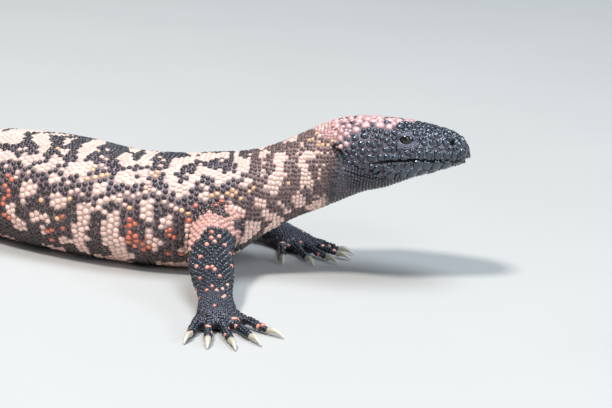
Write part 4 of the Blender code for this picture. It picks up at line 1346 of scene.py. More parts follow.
# The head's eyes, lids and openings
def eye_frame(hand):
    """An eye's middle on the skin and its ahead, up and outward directions; hand 1 is the left eye."""
    row, left, up = body_axes(BODY, BODY.find_x(EYE[0]))
    return row[:3] + left * EYE[1] * hand + up * EYE[2], np.array([1.0, 0.0, 0.0]), up, left * hand


def opening_edge(turn, grow=0.0):
    """The almond of the eye's opening, with a pointed front corner, and how far its edge stands out."""
    long, high = EYE_OPENING
    ahead = np.maximum(np.cos(turn), 0)
    x = long * (1 + LID_GROWTH[0] * grow) * np.cos(turn) * (1 + CORNER_LENGTH * ahead**6)
    y = high * (1 + LID_GROWTH[1] * grow) * np.sin(turn) * (1 - CORNER_FLATNESS * ahead**2)
    edge = np.minimum(np.hypot(long * np.cos(turn), high * np.sin(turn)), EYE_RADIUS - 0.05)
    return x, y, np.sqrt(EYE_RADIUS**2 - edge**2) - EYE_DEPTH + LID_THICKNESS


def lid_scales(rng, tree):
    """Two rings of small plates round each eye."""
    tables = []
    for hand in (1, -1):
        eye, ahead, up, out = eye_frame(hand)
        for grow, count, half in LID_RINGS:
            turn = (np.arange(count) + rng.uniform(-0.08, 0.08, count)) * 2 * math.pi / count
            x, y, _ = opening_edge(turn, grow)
            after_x, after_y, _ = opening_edge(turn + 0.02, grow)
            roots, normals = [], []
            for spot in eye + x[:, None] * ahead + y[:, None] * up:
                hit, face, _, _ = tree.ray_cast(Vector(spot + out * 5), Vector(-out), 12)
                roots.append(hit)
                normals.append(unit(np.array(face) + 0.7 * out))
            run = np.hypot(after_x - x, after_y - y) / 0.02
            along = unit((after_x - x)[:, None] * ahead + (after_y - y)[:, None] * up)
            tables.append(scale_table(
                np.array(roots), np.array(normals), along, half_along=run * math.pi / count * 1.02,
                half_across=half, room=half, height=0.26, gap=0.12,
                colour=BLACK * 1.8 * rng.uniform(0.7, 1.5, (count, 1)), under=SEAM * 0.8,
            ))
    return merged(tables)


def add_lid_rims(tree, shift, look):
    """The thin smooth ridges of the lids, one inside the other."""
    turn, round_turn = angles(RIM_STEPS), angles(RIM_SIDES)
    first = np.arange(RIM_SIDES)
    after, last = (first + 1) % RIM_SIDES, (RIM_STEPS - 1) * RIM_SIDES
    closing = np.stack([last + first, last + after, after, first], axis=-1)
    faces = np.vstack([tube_faces(RIM_STEPS, RIM_SIDES), closing])
    parts = []
    for hand in (1, -1):
        eye, ahead, up, out = eye_frame(hand)
        for grow, half in LID_RIMS:
            x, y, lift = opening_edge(turn, grow)
            line = eye + x[:, None] * ahead + y[:, None] * up
            for i in range(RIM_STEPS):
                hit, _, _, _ = tree.ray_cast(Vector(line[i] + out * 6), Vector(-out), 12)
                line[i] = (np.array(hit) if grow > 0.1 else line[i] + lift[i] * out) + 0.05 * out
            line = (line + np.roll(line, 1, axis=0) + np.roll(line, -1, axis=0)) / 3
            outward = unit(line - line.mean(axis=0))
            rise = np.sin(round_turn)[None, :, None] * out
            tube = line[:, None] + half * (np.cos(round_turn)[None, :, None] * outward[:, None] + rise)
            parts.append((tube.reshape(-1, 3), faces, np.zeros((0, 3), int)))
    points, quads, _ = joined(parts)
    made = add_mesh("lid_rims", points, (quads,), shift)
    paint(made, np.tile(LID_EDGE, (len(points), 1)))
    up_spots = 0.3 + 0.006 * points[:, 2] + 0.4 * (points[:, 1] > 0)
    set_unwrap(made, paired(0.3 + 0.006 * points[:, 0], up_spots))
    made.data.materials.append(look)
    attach(made, "root")


def add_eyes(shift, look):
    """The eyeballs, each with a dark iris and a pupil facing outward."""
    turn, tilt = angles(EYE_SIDES), np.linspace(0.0, math.pi, EYE_RINGS)[1:-1]
    for side, hand in (("left", 1), ("right", -1)):
        eye, ahead, up, out = eye_frame(hand)
        middle = eye - out * EYE_DEPTH
        ring = np.cos(turn)[None, :, None] * ahead + np.sin(turn)[None, :, None] * up
        rings = np.sin(tilt)[:, None, None] * ring + np.cos(tilt)[:, None, None] * out
        points, quads, triangles = capped_tube(middle + EYE_RADIUS * rings)
        points[-2:] = middle + EYE_RADIUS * out, middle - EYE_RADIUS * out
        made = add_mesh(f"eyeball_{side}", points, (quads, triangles), shift)
        offset = points - middle
        off = np.arccos(np.clip(unit(offset) @ out, -1, 1))
        outer = np.where(off[:, None] < IRIS_ANGLE, IRIS, EYE_RIM)
        paint(made, np.where(off[:, None] < PUPIL_ANGLE, PUPIL, outer))
        way = np.arctan2(offset @ up, offset @ ahead)
        set_unwrap(made, paired(0.5 + 0.15 * off * np.cos(way), 0.5 + 0.15 * off * np.sin(way)))
        made.data.materials.append(look)
        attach(made, "root")
        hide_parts(f"eye_{side}")


def darken_openings(points, colours):
    """Painted shadow on the skin inside the mouth line, nostrils and ears, and painted shade round the ears.
    """
    rows = np.flatnonzero(points[:, 0] > HEAD_END_X - OPENINGS_MARGIN)
    spots = near_spots(points[rows])
    outer = np.abs(to_head(points[rows])[0]) > 3
    # Painted shadow along the mouth's crease, wider toward the front, and in the nostrils
    reach = np.interp(spots[:, 0], (MOUTH_CORNER_X, MOUTH_CORNER_X + 26), (0.6, 1.7))
    mouth = line_distance(spots, MOUTH_CREASE) < reach
    colours[rows[outer & (mouth | (nostril_reach(spots) < 1.05))]] = OPENING_SHADOW
    # In the ears, painted shadow at the top runs into the drum's colour below; round them, painted shade
    # fades outward
    down, out = ear_place(spots)
    ear = out < 1.12
    drum_and_shadow = mixed(OPENING_SHADOW, EAR_DRUM, clamped((down + 0.35) / 0.5)[:, None])
    rim = np.where(outer & ~ear, np.clip((out - 0.6) / 0.9, 0.3, 1), 1.0)
    colours[rows] = np.where((outer & ear)[:, None], drum_and_shadow, colours[rows]) * rim[:, None]


# The head's scales
def form_lookup(form, end):
    """A search tree of a form's points up to this distance, with their directions."""
    some = form.places <= end
    tree = point_tree(form.rings[some].reshape(-1, 3))
    return tree, form.normals[some].reshape(-1, 3), form.along[some].reshape(-1, 3)


def head_seeds(tree, lookup, group, rng):
    """Scales at places read from the photograph, on the near side and mirrored to the far side."""
    places, height, under, grow, gap, pink = group
    seeds = np.array(places, float)
    hits = pixel_hits(tree, seeds[:, :2])
    side, rise = to_head(hits)
    other = from_head(hits[:, 0], -side, rise) + rng.normal(0, 0.18, (len(hits), 3))
    roots, normals, along = [], [], []
    near, form_normals, form_along = lookup
    for point in np.vstack([hits, other]):
        root, face, _, _ = tree.find_nearest(Vector(point))
        _, j, _ = near.find(root)
        roots.append(root)
        normals.append(unit(form_normals[j] * 1.5 + np.array(face)))
        along.append(form_along[j])
    roots, normals, along = np.array(roots), unit(normals), np.array(along)
    facing = np.maximum(normals[: len(hits)] @ camera_axes()[2], 0.45)
    half_along = seeds[:, 2] / 2 * MM_PER_PIXEL * grow
    half_across = seeds[:, 3] / 2 * MM_PER_PIXEL / facing * grow
    colour = BLACK * rng.uniform(0.8, 1.6, (len(roots), 1))
    if pink:
        colour = PINK * rng.uniform(0.9, 1.25, (len(roots), 1))
    return scale_table(
        roots, normals, along, half_along=np.tile(half_along, 2), half_across=np.tile(half_across, 2),
        room=np.tile(half_along + half_across, 2) / 2 / grow, height=height, gap=gap,
        colour=colour, under=under,
    )


def front_plates(tree, rng):
    """The plates across the front of the snout and chin, which face forward."""
    roots, normals, ups, sizes = [], [], [], []
    for side, rise, wide, high in FRONT_PLATES:
        for hand in (1, -1) if side else (1,):
            start = Vector(from_head(FRONT_SECTION_X, side * hand, rise)) + Vector((30.0, 0.0, 0.0))
            hit, face, _, _ = tree.ray_cast(start, Vector((-1.0, 0.0, 0.0)), 80)
            roots.append(hit)
            normals.append(face)
            ups.append(from_head(hit[0], 0.0, 1.0) - from_head(hit[0], 0.0, 0.0))
            sizes.append((rise, wide, high))
    rise, wide, high = np.array(sizes).T
    chin = rise < CHIN_RISE
    return scale_table(
        np.array(roots), unit(np.array(normals)), np.array(ups), half_along=high * FRONT_GROWTH,
        half_across=wide * FRONT_GROWTH, room=(high + wide) / 2 * 0.9, gap=FRONT_GAP,
        height=np.where(chin, CHIN_HEIGHT, FRONT_HEIGHT),
        colour=BLACK * rng.uniform(0.8, 1.6, (len(roots), 1)),
        under=np.where(chin[:, None], JAW_SEAM, SNOUT_SEAM),
    )


def head_fill(body, tree, kind, rng):
    """Staggered bosses of the head, small grains between them, or granules under the throat, the upper ones
    with a painted sheen.
    """
    pitches, rise, wide, long, gap = HEAD_FILLS[kind]
    distance, arc, pitch = staggered(
        body, 1.2, BODY.find_x(HEAD_END_X), lambda place: np.interp(place, HEAD_STOPS, pitches),
        jitter=0.2, seed=21,
    )
    spots = near_spots(body.at(distance, arc)[0])
    throat = (body.lowness(distance, arc) > 0.70) | (spots[:, 1] > line_row(spots, THROAT_EDGE))
    kept = throat == (kind == "granules")
    table = seated(body, tree, distance[kept], arc[kept], pitch[kept] * 0.5, 1.0, 1.0, 4.0)
    size = table["half_along"]
    count = len(size)
    table.update(
        room=size, height=size * rise, half_across=size * wide, half_along=size * long,
        gap=np.full(count, gap),
    )
    spots = near_spots(table["root"])
    column, row = spots.T
    if kind == "granules":
        # The upper, rearward granules get a painted sheen
        lit = clamped((182 - row) / 10) * clamped((368 - column) / 15)
        brown = np.clip(0.15 + (row - 178) / 34, 0.05, 0.7) * rng.uniform(0.2, 1.5, count)
        dark = BLACK * (1.2 - brown[:, None]) + clamped(brown)[:, None] * THROAT_BROWN
        dark += 0.6 * lit[:, None] * PAINTED_THROAT_SHEEN
        table["colour"] = np.maximum(dark, 0.004) * rng.uniform(0.7, 1.5, (count, 1))
        rear = clamped((356 - column) / 14) * clamped((row - 158) / 8)
        table["under"] = mixed(THROAT_SKIN, JAW_SKIN, rear[:, None])
        return table
    pink = inside(spots, CROWN_EDGE) & (rng.random(count) < HEAD_CROWN_SHARE)
    table["colour"] = np.where(pink[:, None], PINK, BLACK) * rng.uniform(0.8, 1.3, (count, 1))
    table["under"] = np.tile(SEAM, (count, 1))
    return table


def head_scales(body, tree, rng):
    """The bosses, plates and granules of the head, in two tables: coarse and fine."""
    lookup = form_lookup(body, BODY.find_x(HEAD_FORMS_END_X))
    lids = lid_scales(rng, tree)
    front = front_plates(tree, rng)
    named = merged([lids, front, *(head_seeds(tree, lookup, group, rng) for group in HEAD_GROUPS)])
    coarse = merged([named, *(head_fill(body, tree, kind, rng) for kind in ("bosses", "grains"))])
    spots = near_spots(coarse["root"])
    nostril = (nostril_reach(spots) < 1.1) & (np.abs(to_head(coarse["root"])[0]) > 4)
    kept = thinned(coarse["root"], coarse["room"], HEAD_CROWDING) & ~nostril & ear_clear(coarse["root"])
    kept[: len(lids["root"])] = True
    kept &= (line_distance(spots, MOUTH_CREASE) >= 1.6) | (np.arange(len(kept)) < len(named["root"]))
    coarse = chosen_rows(coarse, kept)
    fine = head_fill(body, tree, "granules", rng)
    roots = np.concatenate([coarse["root"], fine["root"]])
    room = np.concatenate([coarse["room"] * 1.05, fine["room"]])
    kept = thinned(roots, room, THROAT_CROWDING)[len(coarse["root"]) :] & ear_clear(fine["root"])
    kept &= line_distance(near_spots(fine["root"]), MOUTH_CREASE) > 1.2
    fine = chosen_rows(fine, kept)
    for table in (coarse, fine):
        side, rise = to_head(table["root"])
        turned = np.sign(side) * np.arctan2(np.abs(side), rise) * 17.0
        table["unwrap"] = paired(0.5 + 0.005 * (table["root"][:, 0] - 40), 0.5 + 0.0085 * turned)
    return coarse, fine


# Markings of the trunk and legs
def trunk_pitch(place):
    """The spacing of the beads along the body."""
    return np.interp(place, TRUNK_PLACES, TRUNK_PITCHES)


def marking_spots(form, distance, arc):
    """The pixels whose markings these places carry.

    The near side has its own. The far side mirrors it with a wander that grows from the top line
    down. Behind the photograph's left edge the trunk's markings come back, led round the body.
    """
    far = clamped(-arc / 22.0)
    beyond = np.maximum(distance - PHOTO_EDGE, 0)
    loose = np.maximum(far, clamped(beyond / 15.0))
    wander = (clouds(distance, arc + 90, 26.0, 11) - 0.5) * 34.0 * loose
    turned = (clouds(distance + 40, arc + 90, 22.0, 12) - 0.5) * 16.0 * loose + 0.20 * beyond
    back = distance - 2 * beyond + wander * clamped((distance - NECK_START) / 40.0)
    half = form.round_at(distance) / 2
    lowest = 0.85 * half - 0.17 * half * loose
    spread = np.minimum(np.abs(np.abs(arc) + turned), lowest)
    spread = np.where(np.abs(arc) + turned > lowest, 2 * lowest - np.abs(arc) - turned, spread)
    points, _, _ = form.at(np.clip(back, 0, form.end), np.abs(spread))
    own, _, _ = form.at(distance, arc)
    near = (arc >= 0) & (distance <= PHOTO_EDGE)
    return photo_spots(np.where(near[:, None], own, points))


def pale_beads(spots, distance, arc, lowness, rng):
    """Which beads of the body are pale: patches, blotches out of sight, low bands and tail bands."""
    pale = in_patches(spots + rng.normal(0, 0.7, spots.shape))
    hidden = (arc < -4) | (distance > PHOTO_EDGE)
    blotch = clouds(distance + 7, arc * 0.8 + 130, np.where(arc < 0, FAR_BLOTCH, REAR_BLOTCH), 15)
    blotch += 0.10 * (clouds(distance, arc + 60, 4.0, 16) - 0.5)
    pale |= hidden & (blotch > BLOTCH_LEVEL) & (lowness > 0.22) & (distance > PHOTO_EDGE - BLOTCH_LEAD)
    wavering = distance + 6 * clouds(distance, arc, 14.0, 3)
    low_band = np.sin(wavering * 2 * math.pi / LOW_BAND + arc * 0.05) > 0.1
    pale = np.where(lowness > BELLY_LOWNESS, low_band, pale)
    tail = distance > TAIL_START + 9 * (clouds(distance, arc, 8.0, 1) - 0.5)
    wave = np.sin((distance - TAIL_START) * 2 * math.pi / TAIL_BAND - 0.6)
    speckle = clouds(distance, arc + 50, 5.0, 2) - 0.5
    return np.where(tail, wave + 1.7 * speckle > 0.05, pale)


def body_colours(form, distance, arc, rng):
    """Each bead's colour, and the skin's colour under it, from the markings at its place."""
    count = len(distance)
    lowness = clamped(form.lowness(distance, arc))
    spots = marking_spots(form, distance, arc)
    pale = pale_beads(spots, distance, arc, lowness, rng)
    near_neck = clamped((NECK_START + 40 - distance) / 18.0)[:, None]
    tone = clamped((lowness - 0.28) / 0.30)[:, None]
    dark = mixed(mixed(UPPER_DARK, DARK, tone), NECK_DARK, near_neck) * rng.uniform(0.6, 1.5, (count, 1))
    front = clamped((160.0 - np.abs(distance - 95.0)) / 60.0)[:, None]
    light = mixed(mixed(CREAM, PEACH, 0.6 * front), LOW_SALMON, tone) * rng.uniform(0.86, 1.10, (count, 1))
    colours = np.where(pale[:, None], light, dark)
    near = (arc > -4) & (distance < PHOTO_EDGE)
    ragged = 16 * (clouds(distance, arc + 70, 6.0, 8) - 0.5)
    crown = inside(spots, CROWN_EDGE) & (distance < NECK_START + 7 + ragged)
    crown_pink = crown & (rng.random(count) < NECK_CROWN_SHARE)
    colours[crown_pink] = PINK * rng.uniform(0.85, 1.2, (crown_pink.sum(), 1))
    for wanted, colour in ((SINGLE_CREAM, PEACH), (SINGLE_AMBER, AMBER), (SINGLE_RED, RED)):
        chosen = nearest_of(spots, wanted, near & ~pale, 4.0)
        colours[chosen] = colour * rng.uniform(0.85, 1.15, (len(chosen), 1))
    throat = clamped((THROAT_END + 0.8 * ragged - distance) / 9.0) * clamped((lowness - 0.42) / 0.15)
    throat = throat[:, None] * ~crown[:, None]
    colours = mixed(colours, BLACK * 1.5 * rng.uniform(0.7, 1.3, (count, 1)), throat)
    elsewhere = ~near & ~pale & (distance > NECK_START) & (rng.random(count) < LONE_SHARE)
    lone = np.where(lowness[:, None] < 0.45, AMBER, RED) * rng.uniform(0.8, 1.15, (count, 1))
    colours[elsewhere] = lone[elsewhere]
    neck = near_neck * (lowness < 0.72)[:, None]
    dark_under = mixed(mixed(DARK_SKIN, LOW_SKIN, tone), NECK_SKIN, neck)
    under = np.where(pale[:, None], PALE_SKIN * (1 - 0.35 * tone), dark_under)
    under[crown] = NECK_SKIN * 0.7
    return colours, mixed(under, JAW_SKIN * 0.6, 0.85 * throat), pale & ~crown


def leg_colours(points, near, rng):
    """The dark beads of a leg, with a few orange ones."""
    count = len(points)
    colours = BLACK * rng.uniform(0.7, 1.9, (count, 1))
    lone = mixed(LEG_SALMON, RED, rng.uniform(0.1, 0.75, (count, 1))) * rng.uniform(0.85, 1.25, (count, 1))
    others = rng.random(count) < LEG_LONE_SHARE
    if near is not None:
        chosen = nearest_of(photo_spots(points), ARM_SPOTS, near, 5.0)
        colours[chosen] = lone[chosen]
        others &= ~near
    colours[others] = lone[others]
    return colours, np.tile(LEG_SKIN, (count, 1))


# The scales of the body, legs and digits
def trunk_scales(body, tree, rng):
    """The beads of neck, trunk and tail."""
    distance, arc, pitch = staggered(
        body, BODY.find_x(HEAD_END_X), body.end - 1, trunk_pitch, TRUNK_COVER, jitter=TRUNK_JITTER
    )
    half = pitch * TRUNK_HALF
    table = seated(body, tree, distance, arc, half, half, pitch * TRUNK_HEIGHT)
    table["colour"], table["under"], pale = body_colours(body, table["distance"], table["arc"], rng)
    clear = (table["distance"] >= NECK_START) | ear_clear(table["root"])
    table, pale = chosen_rows(table, clear), pale[clear]
    arm = inside(photo_spots(table["root"]), ARM_EDGE) & (table["arc"] > 0)
    table["colour"][arm], table["under"][arm] = leg_colours(table["root"][arm], None, rng)
    pale &= ~arm
    shrink = np.where(pale, 1.02, 0.92) * rng.uniform(0.90, 1.08, len(pale))
    low = clamped(body.lowness(table["distance"], table["arc"]) * 3.0 - 1.0)
    table["gap"] = np.where(pale, PALE_GAP, DARK_GAP)
    table["height"] *= np.where(pale, PALE_HEIGHT, 1.0)
    table["half_along"] *= shrink * (1 + 0.13 * low)
    table["half_across"] *= shrink * (1 - 0.10 * low)
    table["unwrap"] = paired(table["distance"] / body.end, table["arc"] / 200 + 0.5)
    return table


def belly_scales(body, tree, rng):
    """The flat, squarish scales of the underside, in cross rows."""
    distance, arc, _ = staggered(
        body, BODY.find_x(BELLY_PLATES_START_X), body.end - 8, lambda place: BELLY_PITCH,
        row_share=BELLY_ROW_SHARE, jitter=BELLY_JITTER, seed=5,
    )
    low = np.abs(arc) > TRUNK_COVER * body.round_at(distance) / 2 + 1.2
    table = seated(body, tree, distance[low], arc[low], *BELLY_PLATE)
    table["colour"], table["under"], _ = body_colours(body, table["distance"], table["arc"], rng)
    table["gap"] = np.full(len(table["root"]), BELLY_GAP)
    table["unwrap"] = paired(table["distance"] / body.end, (table["arc"] % 200) / 200)
    return table


def leg_scales(name, form, tree, rng):
    """The beads of a leg and the back of its foot."""
    wrist = form.track.places[list(LEGS[name]).index(FOOT_START)]
    stops = (wrist - 16, wrist - 2, form.end)
    distance, arc, pitch = staggered(
        form, 2.0, form.end + 0.5, lambda place: np.interp(place, stops, LEG_PITCHES),
        jitter=LEG_JITTER, seed=11,
    )
    half = pitch * LEG_HALF
    table = seated(form, tree, distance, arc, half, half, pitch * LEG_HEIGHT)
    table = chosen_rows(table, (table["normal"][:, 2] > -0.55) | (table["root"][:, 2] > 2.5))
    distance, arc = table["distance"], table["arc"]
    near = None
    shoulder = distance < SHOULDER_REACH + SHOULDER_WANDER * (clouds(distance, arc + 50, 5.0, 6) - 0.5)
    pale = clouds(distance, arc + 50, 9.0, 7) > PALE_LEG_LEVEL
    if name == "front_right":
        near = table["normal"] @ camera_axes()[2] > 0.15
        spots = photo_spots(table["root"])
        shoulder = np.where(near, ~inside(spots, ARM_EDGE), distance < NEAR_SHOULDER_REACH)
        pale = np.where(near, in_patches(spots), pale)
    colours, under = leg_colours(table["root"], near, rng)
    dyed = np.where(pale[:, None], SALMON, DARK) * rng.uniform(0.85, 1.15, (len(pale), 1))
    table["colour"] = np.where(shoulder[:, None], dyed, colours)
    trunk_under = np.where(pale[:, None], PALE_SKIN * 0.8, LOW_SKIN)
    foot = clamped((distance - wrist + 3) / 6)
    table["under"] = mixed(np.where(shoulder[:, None], trunk_under, under), FOOT_SKIN, foot[:, None])
    table["height"] *= 1 - FOOT_FLATNESS * foot
    table["half_along"] *= 1 + FOOT_GROWTH * foot
    table["half_across"] *= 1 + FOOT_GROWTH * foot
    table["gap"] = LEG_GAP - FOOT_CLOSENESS * foot
    table["shoulder"] = shoulder.astype(float)
    table["unwrap"] = paired(0.5 * distance / 140, arc / 80 + 0.5)
    return table


def digit_scales(tracks, tree, rng):
    """The cross plates of the digits, a broad one on top and narrower ones down each side."""
    tables = []
    for number, (track, _) in enumerate(tracks):
        form = Form(track, digit_axes, *DIGIT_FORM)
        places = np.arange(1.0, track.length - 0.2, DIGIT_PLATE_PITCH)
        distance, arc = np.meshgrid(places, DIGIT_PLATE_ARCS, indexing="ij")
        distance = (distance + rng.normal(0, 0.08, distance.shape)).ravel()
        half = np.tile(DIGIT_PLATE_HALVES, len(places))
        long, height = DIGIT_PLATE_PITCH * 0.60, half * 0.15 + 0.34
        table = seated(form, tree, distance, arc.ravel(), long, half, height, 3.0)
        table = chosen_rows(table, (table["normal"][:, 2] > -0.5) & (table["root"][:, 2] > 0.5))
        table["colour"], table["under"] = leg_colours(table["root"], None, rng)
        distance, arc = table["distance"], table["arc"]
        lone = np.abs(arc - DIGIT_PLATE_ARCS[1 + 2 * (number % 2)]) < 0.1
        table["colour"][lone & (np.abs(distance - places[-3]) < 0.5)] = mixed(LEG_SALMON, RED, 0.5)
        table["unwrap"] = paired(0.55 + 0.4 * distance / 30, 0.1 + 0.18 * number + arc / 90)
        table["shoulder"] = np.full(len(arc), -1.0)
        table["gap"] = np.full(len(arc), DIGIT_PLATE_GAP)
        tables.append(table)
    return merged(tables)


def bare_fill(points, normals, coats, rng, allowed):
    """Small granules on the skin that no other scale reaches."""
    tree = point_tree(coats["root"])
    sizes = (coats["half_along"] + coats["half_across"]) / 2
    found, nearest, shade = [], [], []
    for i in np.flatnonzero(allowed):
        _, j, far = tree.find(Vector(points[i]))
        if BARE_HALF + 0.92 * sizes[j] < far < BARE_REACH:
            close = [one for _, one, _ in tree.find_n(Vector(points[i]), 5)]
            found.append(i)
            nearest.append(j)
            shade.append(np.median(coats["colour"][close], axis=0))
    order = rng.permutation(len(found))
    found, nearest, shade = (np.array(values)[order] for values in (found, nearest, shade))
    kept = thinned(points[found], np.full(len(found), BARE_HALF), BARE_CROWDING)
    found, nearest, shade = found[kept], nearest[kept], shade[kept]
    table = scale_table(
        points[found], normals[found], coats["along"][nearest], half_along=BARE_HALF * 1.05,
        half_across=BARE_HALF * 1.05, height=BARE_HALF * 0.7, gap=BARE_GAP,
        colour=shade * rng.uniform(0.8, 1.2, (len(found), 1)), under=coats["under"][nearest],
    )
    table["unwrap"] = coats["unwrap"][nearest] + rng.uniform(-0.004, 0.004, (len(found), 2))
    return table


def add_claws(digits, shift, look):
    """The claws, one curved horn on each digit."""
    for name, tracks in digits.items():
        for number, (_, track) in enumerate(tracks, 1):
            form = Form(track, digit_axes, *CLAW_FORM)
            points, quads, triangles = capped_tube(form.rings)
            made = add_mesh(f"horn_{name}_{number}", points, (quads, triangles), shift)
            share = clamped(np.linalg.norm(points - form.rings[0].mean(axis=0), axis=1) / CLAW_LENGTH)
            paint(made, mixed(HORN, HORN_TIP, share[:, None]))
            across = 0.5 + 0.05 * (points[:, 2] - 2) + 0.02 * (points[:, 1] - points[0, 1])
            set_unwrap(made, paired(0.1 + 0.8 * share, across))
            made.data.materials.append(look)
            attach(made, "root")
            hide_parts(f"claw_{name}_{number}")


# Materials, lights and surroundings
def add_material(name, build):
    """A material whose nodes are added by the given function."""
    made = bpy.data.materials.new(name)
    made.use_nodes = True
    build(made.node_tree, made.node_tree.nodes["Principled BSDF"])
    return made


def noise(tree, scale, detail=2.0):
    """A noise texture in object space."""
    coordinates = tree.nodes.new("ShaderNodeTexCoord")
    made = tree.nodes.new("ShaderNodeTexNoise")
    made.inputs["Scale"].default_value = scale
    made.inputs["Detail"].default_value = detail
    tree.links.new(coordinates.outputs["Object"], made.inputs["Vector"])
    return made.outputs["Fac"]


def ranged(tree, value, low, high):
    """A value from 0 to 1 brought to another range."""
    made = tree.nodes.new("ShaderNodeMapRange")
    made.inputs["To Min"].default_value = low
    made.inputs["To Max"].default_value = high
    tree.links.new(value, made.inputs["Value"])
    return made.outputs["Result"]


def coat_look(roughness, grain, bump, gloss, coat, tint):
    """Nodes for scales: the marking, cloudy shade, grain and gloss."""

    def build(tree, shader):
        marking = tree.nodes.new("ShaderNodeAttribute")
        marking.attribute_name = "marking"
        shade = tree.nodes.new("ShaderNodeMix")
        shade.data_type = "RGBA"
        shade.blend_type = "MULTIPLY"
        shade.inputs["Factor"].default_value = 1.0
        cloud = tree.nodes.new("ShaderNodeCombineColor")
        tone = ranged(tree, noise(tree, grain * 0.35, 3.0), 0.72, 1.22)
        for socket in ("Red", "Green", "Blue"):
            tree.links.new(tone, cloud.inputs[socket])
        tree.links.new(marking.outputs["Color"], shade.inputs["A"])
        tree.links.new(cloud.outputs["Color"], shade.inputs["B"])
        tree.links.new(shade.outputs["Result"], shader.inputs["Base Color"])
        rough = ranged(tree, noise(tree, grain), roughness - 0.08, roughness + 0.10)
        tree.links.new(rough, shader.inputs["Roughness"])
        bumps = tree.nodes.new("ShaderNodeBump")
        bumps.inputs["Strength"].default_value = bump
        bumps.inputs["Distance"].default_value = BUMP_DISTANCE
        tree.links.new(noise(tree, grain * 1.6), bumps.inputs["Height"])
        tree.links.new(bumps.outputs["Normal"], shader.inputs["Normal"])
        shader.inputs["Specular IOR Level"].default_value = gloss
        shader.inputs["Specular Tint"].default_value = (*tint, 1.0)
        shader.inputs["Coat Weight"].default_value = coat
        shader.inputs["Coat Roughness"].default_value = COAT_ROUGHNESS

    return build


def add_light(name, spot, aim, size, power, colour, shift):
    """A soft round light at a spot, turned to its aim."""
    data = bpy.data.lights.new(name, "AREA")
    data.shape = "DISK"
    data.size = size
    data.energy = power
    data.color = colour
    made = bpy.data.objects.new(name, data)
    place = Vector(np.array(spot) * MM + shift)
    toward = Vector(np.array(aim) * MM + shift) - place
    made.matrix_world = Matrix.Translation(place) @ toward.to_track_quat("-Z", "Y").to_matrix().to_4x4()
    bpy.context.scene.collection.objects.link(made)


def add_sky_light(spot, spread, strength, colour):
    """A broad even light from a direction, as bright far off as near."""
    data = bpy.data.lights.new("sky", "SUN")
    data.angle = math.radians(spread)
    data.energy = strength
    data.color = colour
    made = bpy.data.objects.new("sky", data)
    made.matrix_world = Vector(spot).to_track_quat("Z", "Y").to_matrix().to_4x4()
    bpy.context.scene.collection.objects.link(made)


def colour_ramp(tree, stops, value, wanted):
    """Two colours, run together by a value, on the wanted socket."""
    ramp = tree.nodes.new("ShaderNodeValToRGB")
    for element, (position, colour) in zip(ramp.color_ramp.elements, stops):
        element.position = position
        element.color = colour
    tree.links.new(value, ramp.inputs["Fac"])
    tree.links.new(ramp.outputs["Color"], wanted)


def add_surroundings():
    """The studio round the model: pale at the level of the eye and dim overhead."""
    world = bpy.data.worlds.new("soft")
    world.use_nodes = True
    tree = world.node_tree
    direction = tree.nodes.new("ShaderNodeTexCoord")
    parts = tree.nodes.new("ShaderNodeSeparateXYZ")
    tree.links.new(direction.outputs["Generated"], parts.inputs["Vector"])
    colour_ramp(tree, WORLD_STOPS, parts.outputs["Z"], tree.nodes["Background"].inputs["Color"])
    bpy.context.scene.world = world


def make_stage(shift):
    """A plain pale floor."""
    corners = [(x * FLOOR_HALF, y * FLOOR_HALF, 0.0) for x, y in ((-1, -1), (1, -1), (1, 1), (-1, 1))]
    floor = add_mesh("floor", corners, (np.array([[0, 1, 2, 3]]),), shift)

    def build(tree, shader):
        colour_ramp(tree, FLOOR_STOPS, noise(tree, 6.0, 3.0), shader.inputs["Base Color"])
        shader.inputs["Roughness"].default_value = FLOOR_ROUGHNESS

    floor.data.materials.append(add_material("pale_floor", build))


# The parts of the model, in the order in which their random draws are made
def coat_trunk(body, tree, rng, shift, look):
    """The coats of neck, trunk, tail and underside."""
    trunk = trunk_scales(body, tree, rng)
    stops = [BODY.find_x(x) for x in (HEAD_END_X, CHEST_END_X, BELLY_END_X)] + [body.end]
    for name, low, high in zip(("neck_and_chest_beads", "belly_beads", "tail_beads"), stops, stops[1:]):
        some = (trunk["distance"] >= low) & (trunk["distance"] < high)
        add_coat(name, chosen_rows(trunk, some), TRUNK_BEAD, shift, look)
    belly = belly_scales(body, tree, rng)
    add_coat("belly_plates", belly, BELLY_SCALE, shift, look)
    return [trunk, belly]


def coat_head(body, tree, rng, shift, look):
    """The coats and lids of the head."""
    bosses, granules = head_scales(body, tree, rng)
    add_coat("head_bosses", bosses, HEAD_BOSS, shift, look)
    add_coat("throat_granules", granules, THROAT_GRANULE, shift, look)
    add_lid_rims(tree, shift, look)
    return [bosses, granules]


def coat_legs(limbs, digits, tree, rng, shift, leg_look, bead_look):
    """The coats of legs, shoulders and digits."""
    legs, shoulders, toes = [], [], []
    for name, form in limbs.items():
        leg = merged([digit_scales(digits[name], tree, rng), leg_scales(name, form, tree, rng)])
        leg = without_crowding(leg, LEG_CROWDING)
        upper, toe = leg["shoulder"] > 0.5, leg["shoulder"] < -0.5
        some = chosen_rows(leg, ~upper & ~toe)
        add_coat(f"leg_beads_{name}", some, LEG_BEAD, shift, leg_look)
        shoulders.append(chosen_rows(leg, upper))
        toes.append(chosen_rows(leg, toe))
        legs.append(leg)
    add_coat("shoulder_beads", merged(shoulders), LEG_BEAD, shift, bead_look)
    add_coat("digit_plates", merged(toes), DIGIT_PLATE, shift, leg_look)
    return legs


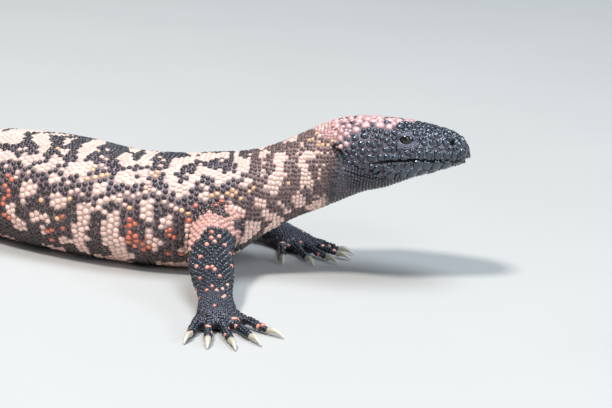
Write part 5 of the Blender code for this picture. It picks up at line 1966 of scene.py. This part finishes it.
def finish_skin(skin, coats, rng, shift, nodes, looks):
    """The granules of bare skin, and the skin's own colours and material."""
    points = mesh_points(skin, shift)
    allowed = (points[:, 0] < HEAD_END_X) & (points[:, 2] > LOWEST_BARE)
    bare = bare_fill(points, vertex_normals(skin), coats, rng, allowed)
    add_coat("fold_granules", bare, BARE_GRANULE, shift, looks["beaded_skin"])
    tree = point_tree(coats["root"])
    colours = coats["under"][[tree.find(Vector(point))[1] for point in points]]
    darken_openings(points, colours)
    paint(skin, colours)
    skin.data.materials.append(looks["skin"])
    flesh = [n for n in nodes if not n.startswith(("eye", "claw"))]
    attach(skin, "root")
    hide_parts(*flesh)


def main():
    """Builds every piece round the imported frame, with its stage and lights."""
    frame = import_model()
    eyes = [np.array(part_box(f"eye_{side}")).mean(axis=0) for side in ("left", "right")]
    shift = np.mean(eyes, axis=0) - head_spot(EYE[0], 0.0, EYE[2]) * MM
    place_camera(shift)
    looks = {name: add_material(name, coat_look(*values)) for name, values in LOOKS.items()}

    body = Form(BODY, body_axes, *BODY_FORM)
    limbs = {name: Form(Track(list(rows.values())), limb_axes, *LEG_FORM) for name, rows in LEGS.items()}
    digits = {name: digit_tracks(name) for name in LEGS}
    forms = [body, *limbs.values()]
    forms += [Form(track, digit_axes, *DIGIT_FORM) for tracks in digits.values() for track, _ in tracks]
    skin = make_skin(forms, shift)
    refine_head(skin, shift)
    shape_head(skin, shift)
    tree = skin_tree(skin, shift)

    rng = np.random.default_rng(SEED)
    coats = coat_trunk(body, tree, rng, shift, looks["beaded_skin"])
    coats += coat_head(body, tree, rng, shift, looks["head_bosses"])
    add_eyes(shift, looks["wet_eye"])
    add_claws(digits, shift, looks["claw_horn_look"])
    coats += coat_legs(limbs, digits, tree, rng, shift, looks["leg_beads"], looks["beaded_skin"])
    finish_skin(skin, merged(coats), rng, shift, frame["nodes"], looks)

    make_stage(shift)
    for name, light in LIGHTS.items():
        add_light(name, *light, shift)
    add_sky_light(*SKY_LIGHT)
    add_surroundings()
    bpy.context.scene.view_settings.view_transform = "Standard"


main()
